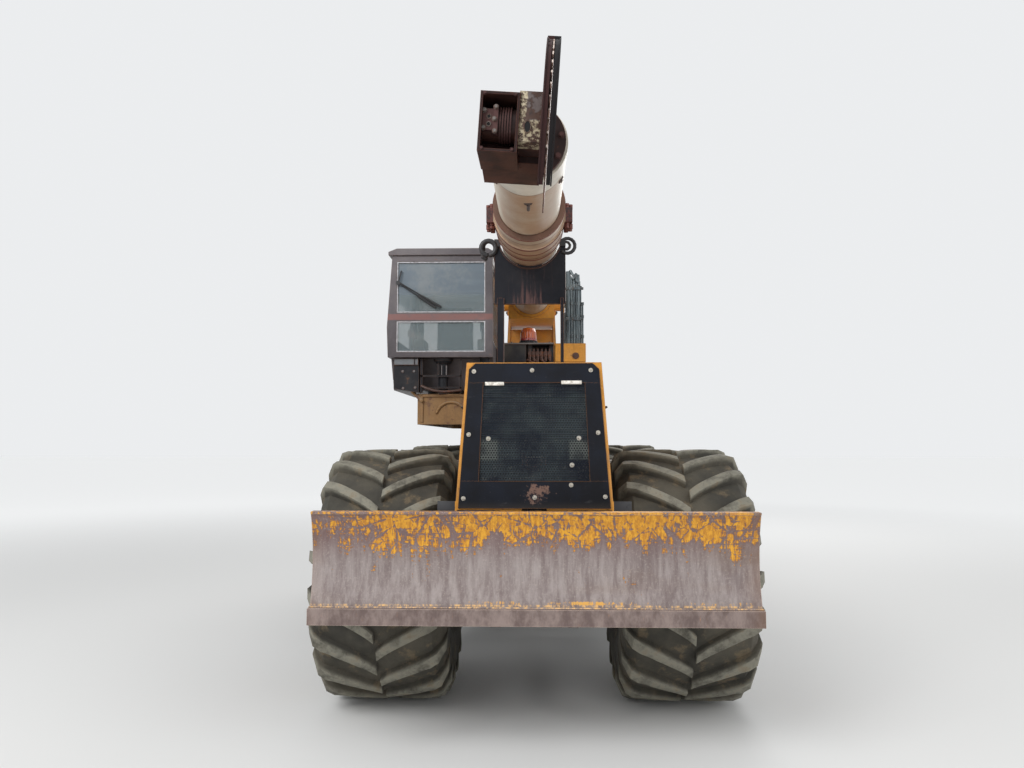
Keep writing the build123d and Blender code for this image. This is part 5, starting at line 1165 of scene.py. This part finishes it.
# Deck: a rusty box with an arched stiffener on its front edge, a bent grab bar at its corner, and the
# slewing ring's bolts below it.
deck_paint = weathered("deck_paint", tint(148, 112, 70), tint(96, 64, 50), darker(DUST, 0.95),
                       0.7, 1.0, 0.8, 0.9)
dress("turret_deck", deck_paint, 0.004)
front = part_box("turret_deck")[0].y
arch = bmesh.new()
bent_bar(arch, 0.011, arc((-0.690, front - 0.004, 1.815), 0.125, 18, 162, 14))
for left in (-0.945, -0.430):
    box(arch, (left, front - 0.010, 1.775), (left + 0.022, front + 0.004, 1.995))
box(arch, (-0.93, front - 0.012, 1.985), (-0.43, front + 0.004, 2.000))
bent_bar(arch, 0.014, [(-0.93, front - 0.02, 1.95), (-1.02, front + 0.03, 2.03)])
piece("deck_arch", arch, "turret", deck_paint, smooth=40)
ring = bmesh.new()
base_low, base_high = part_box("slew_base")
base_middle = (base_low + base_high) / 2
for k in range(28):
    turn = 2 * math.pi * k / 28
    seat = (base_middle.x + 0.495 * math.cos(turn), base_middle.y + 0.495 * math.sin(turn), 1.690)
    bolt(ring, seat, (0, 0, 1), 0.026, 0.016)
piece("slew_ring_bolts", ring, "chassis", worn_steel, smooth=35)

# Tanks: dusty sheet tanks on both sides of the frame, each with two straps over its top and a filler cap
# at its front end.
tank_paint = weathered("tank_paint", tint(60, 60, 64), tint(96, 66, 48), DUST, 0.6, 0.5, 0.7, 0.5)
dress("side_tanks", tank_paint, 0.004)
tanks_low, tanks_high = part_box("side_tanks")
top = tanks_high.z
straps = bmesh.new()
for side in (-1, 1):
    left, right = (-tanks_high.x, -0.300) if side < 0 else (0.300, tanks_high.x - 0.055)
    for y in (tanks_low.y + 0.20, tanks_high.y - 0.22):
        box(straps, (left, y, top - 0.002), (right, y + 0.05, top + 0.004))
    cap = (side * 0.70, tanks_low.y + 0.10)
    rod(straps, 0.055, (*cap, top - 0.004), (*cap, top + 0.035), 28)
piece("tank_straps", straps, "chassis", black_steel, smooth=35)

# Engine, seat and controls: plain iron inside the covers, and in the cab a seat of black cloth over foam
# on its frame. Cloth blows the cushions up from rounded blocks.
iron = weathered("engine_iron", tint(56, 58, 62), tint(84, 58, 44), tint(96, 88, 78), 0.5, 0.5, 0.5, 0.4)
dress("engine_block", iron, 0.004)
dress("cab_controls", rubber_black, 0.003)
cloth = two_tone("seat_cloth", 420.0, tint(34, 34, 38), tint(56, 54, 56), 0.95, 2.0, high=0.6)
cloth.bump(cloth.grain, 0.0006)
MOST_BULGE = 0.014  # how far the pressure may move a point


def padded_block(name, low, high):
    """A cushion blown up from a rounded block by Cloth."""
    mesh = bmesh.new()
    box(mesh, low, high)
    round_edges(mesh, 0.024, segments=3)
    cushion = piece(name, mesh, "turret", cloth)
    cells = cushion.modifiers.new("cells", "REMESH")
    cells.mode = "VOXEL"
    cells.voxel_size = 0.008
    shapes = []
    for modifier in ("REMESH", "CLOTH"):
        if modifier == "CLOTH":
            blown = cushion.modifiers.new("blown", "CLOTH")
            blown.settings.use_pressure = True
            blown.settings.uniform_pressure_force = 4.0
            blown.settings.effector_weights.gravity = 0.0
            for step in range(1, 21):
                bpy.context.scene.frame_set(step)
        graph = bpy.context.evaluated_depsgraph_get()
        data = bpy.data.meshes.new_from_object(cushion.evaluated_get(graph))
        cushion.modifiers.clear()
        cushion.data = data
        shapes.append([v.co.copy() for v in data.vertices])
    for v, start in zip(cushion.data.vertices, shapes[0]):
        move = v.co - start
        if move.length > MOST_BULGE:
            v.co = start + move.normalized() * MOST_BULGE
    bpy.context.scene.frame_set(1)
    cushion.data.shade_smooth()
    cushion.modifiers.new("finer", "SUBSURF").levels = 1
    return cushion


seat_low, seat_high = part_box("operator_seat")
left, right, front = seat_low.x, seat_high.x, seat_low.y
cushion = padded_block("seat_cushion", (left + 0.018, front + 0.018, 2.352),
                       (right - 0.018, front + 0.440, 2.424))
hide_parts("operator_seat")
padded_block("seat_back", (left + 0.040, seat_high.y - 0.092, 2.470),
             (right - 0.040, seat_high.y - 0.030, 2.940))
seat_frame = bmesh.new()
box(seat_frame, (left + 0.09, front + 0.06, seat_low.z + 0.001), (right - 0.09, front + 0.40, 2.20))
for k in range(5):
    inset, foot = 0.10 + 0.003 * k, 2.20 + 0.026 * k
    box(seat_frame, (left + inset, front + 0.07, foot), (right - inset, front + 0.39, foot + 0.018))
box(seat_frame, (left + 0.05, front + 0.04, 2.330), (right - 0.05, front + 0.43, 2.350))
for across in (left + 0.10, right - 0.10):
    bent_bar(seat_frame, 0.011, [(across, front + 0.38, 2.342), (across, seat_high.y - 0.020, 2.40),
                                 (across, seat_high.y - 0.016, 2.86)], 12)
for k in range(4):
    bolt(seat_frame, (left + 0.13 + 0.065 * k, front + 0.0605, 2.15), (0, -1, 0), 0.014, 0.006)
piece("seat_frame", seat_frame, "turret", rubber_black, smooth=40)
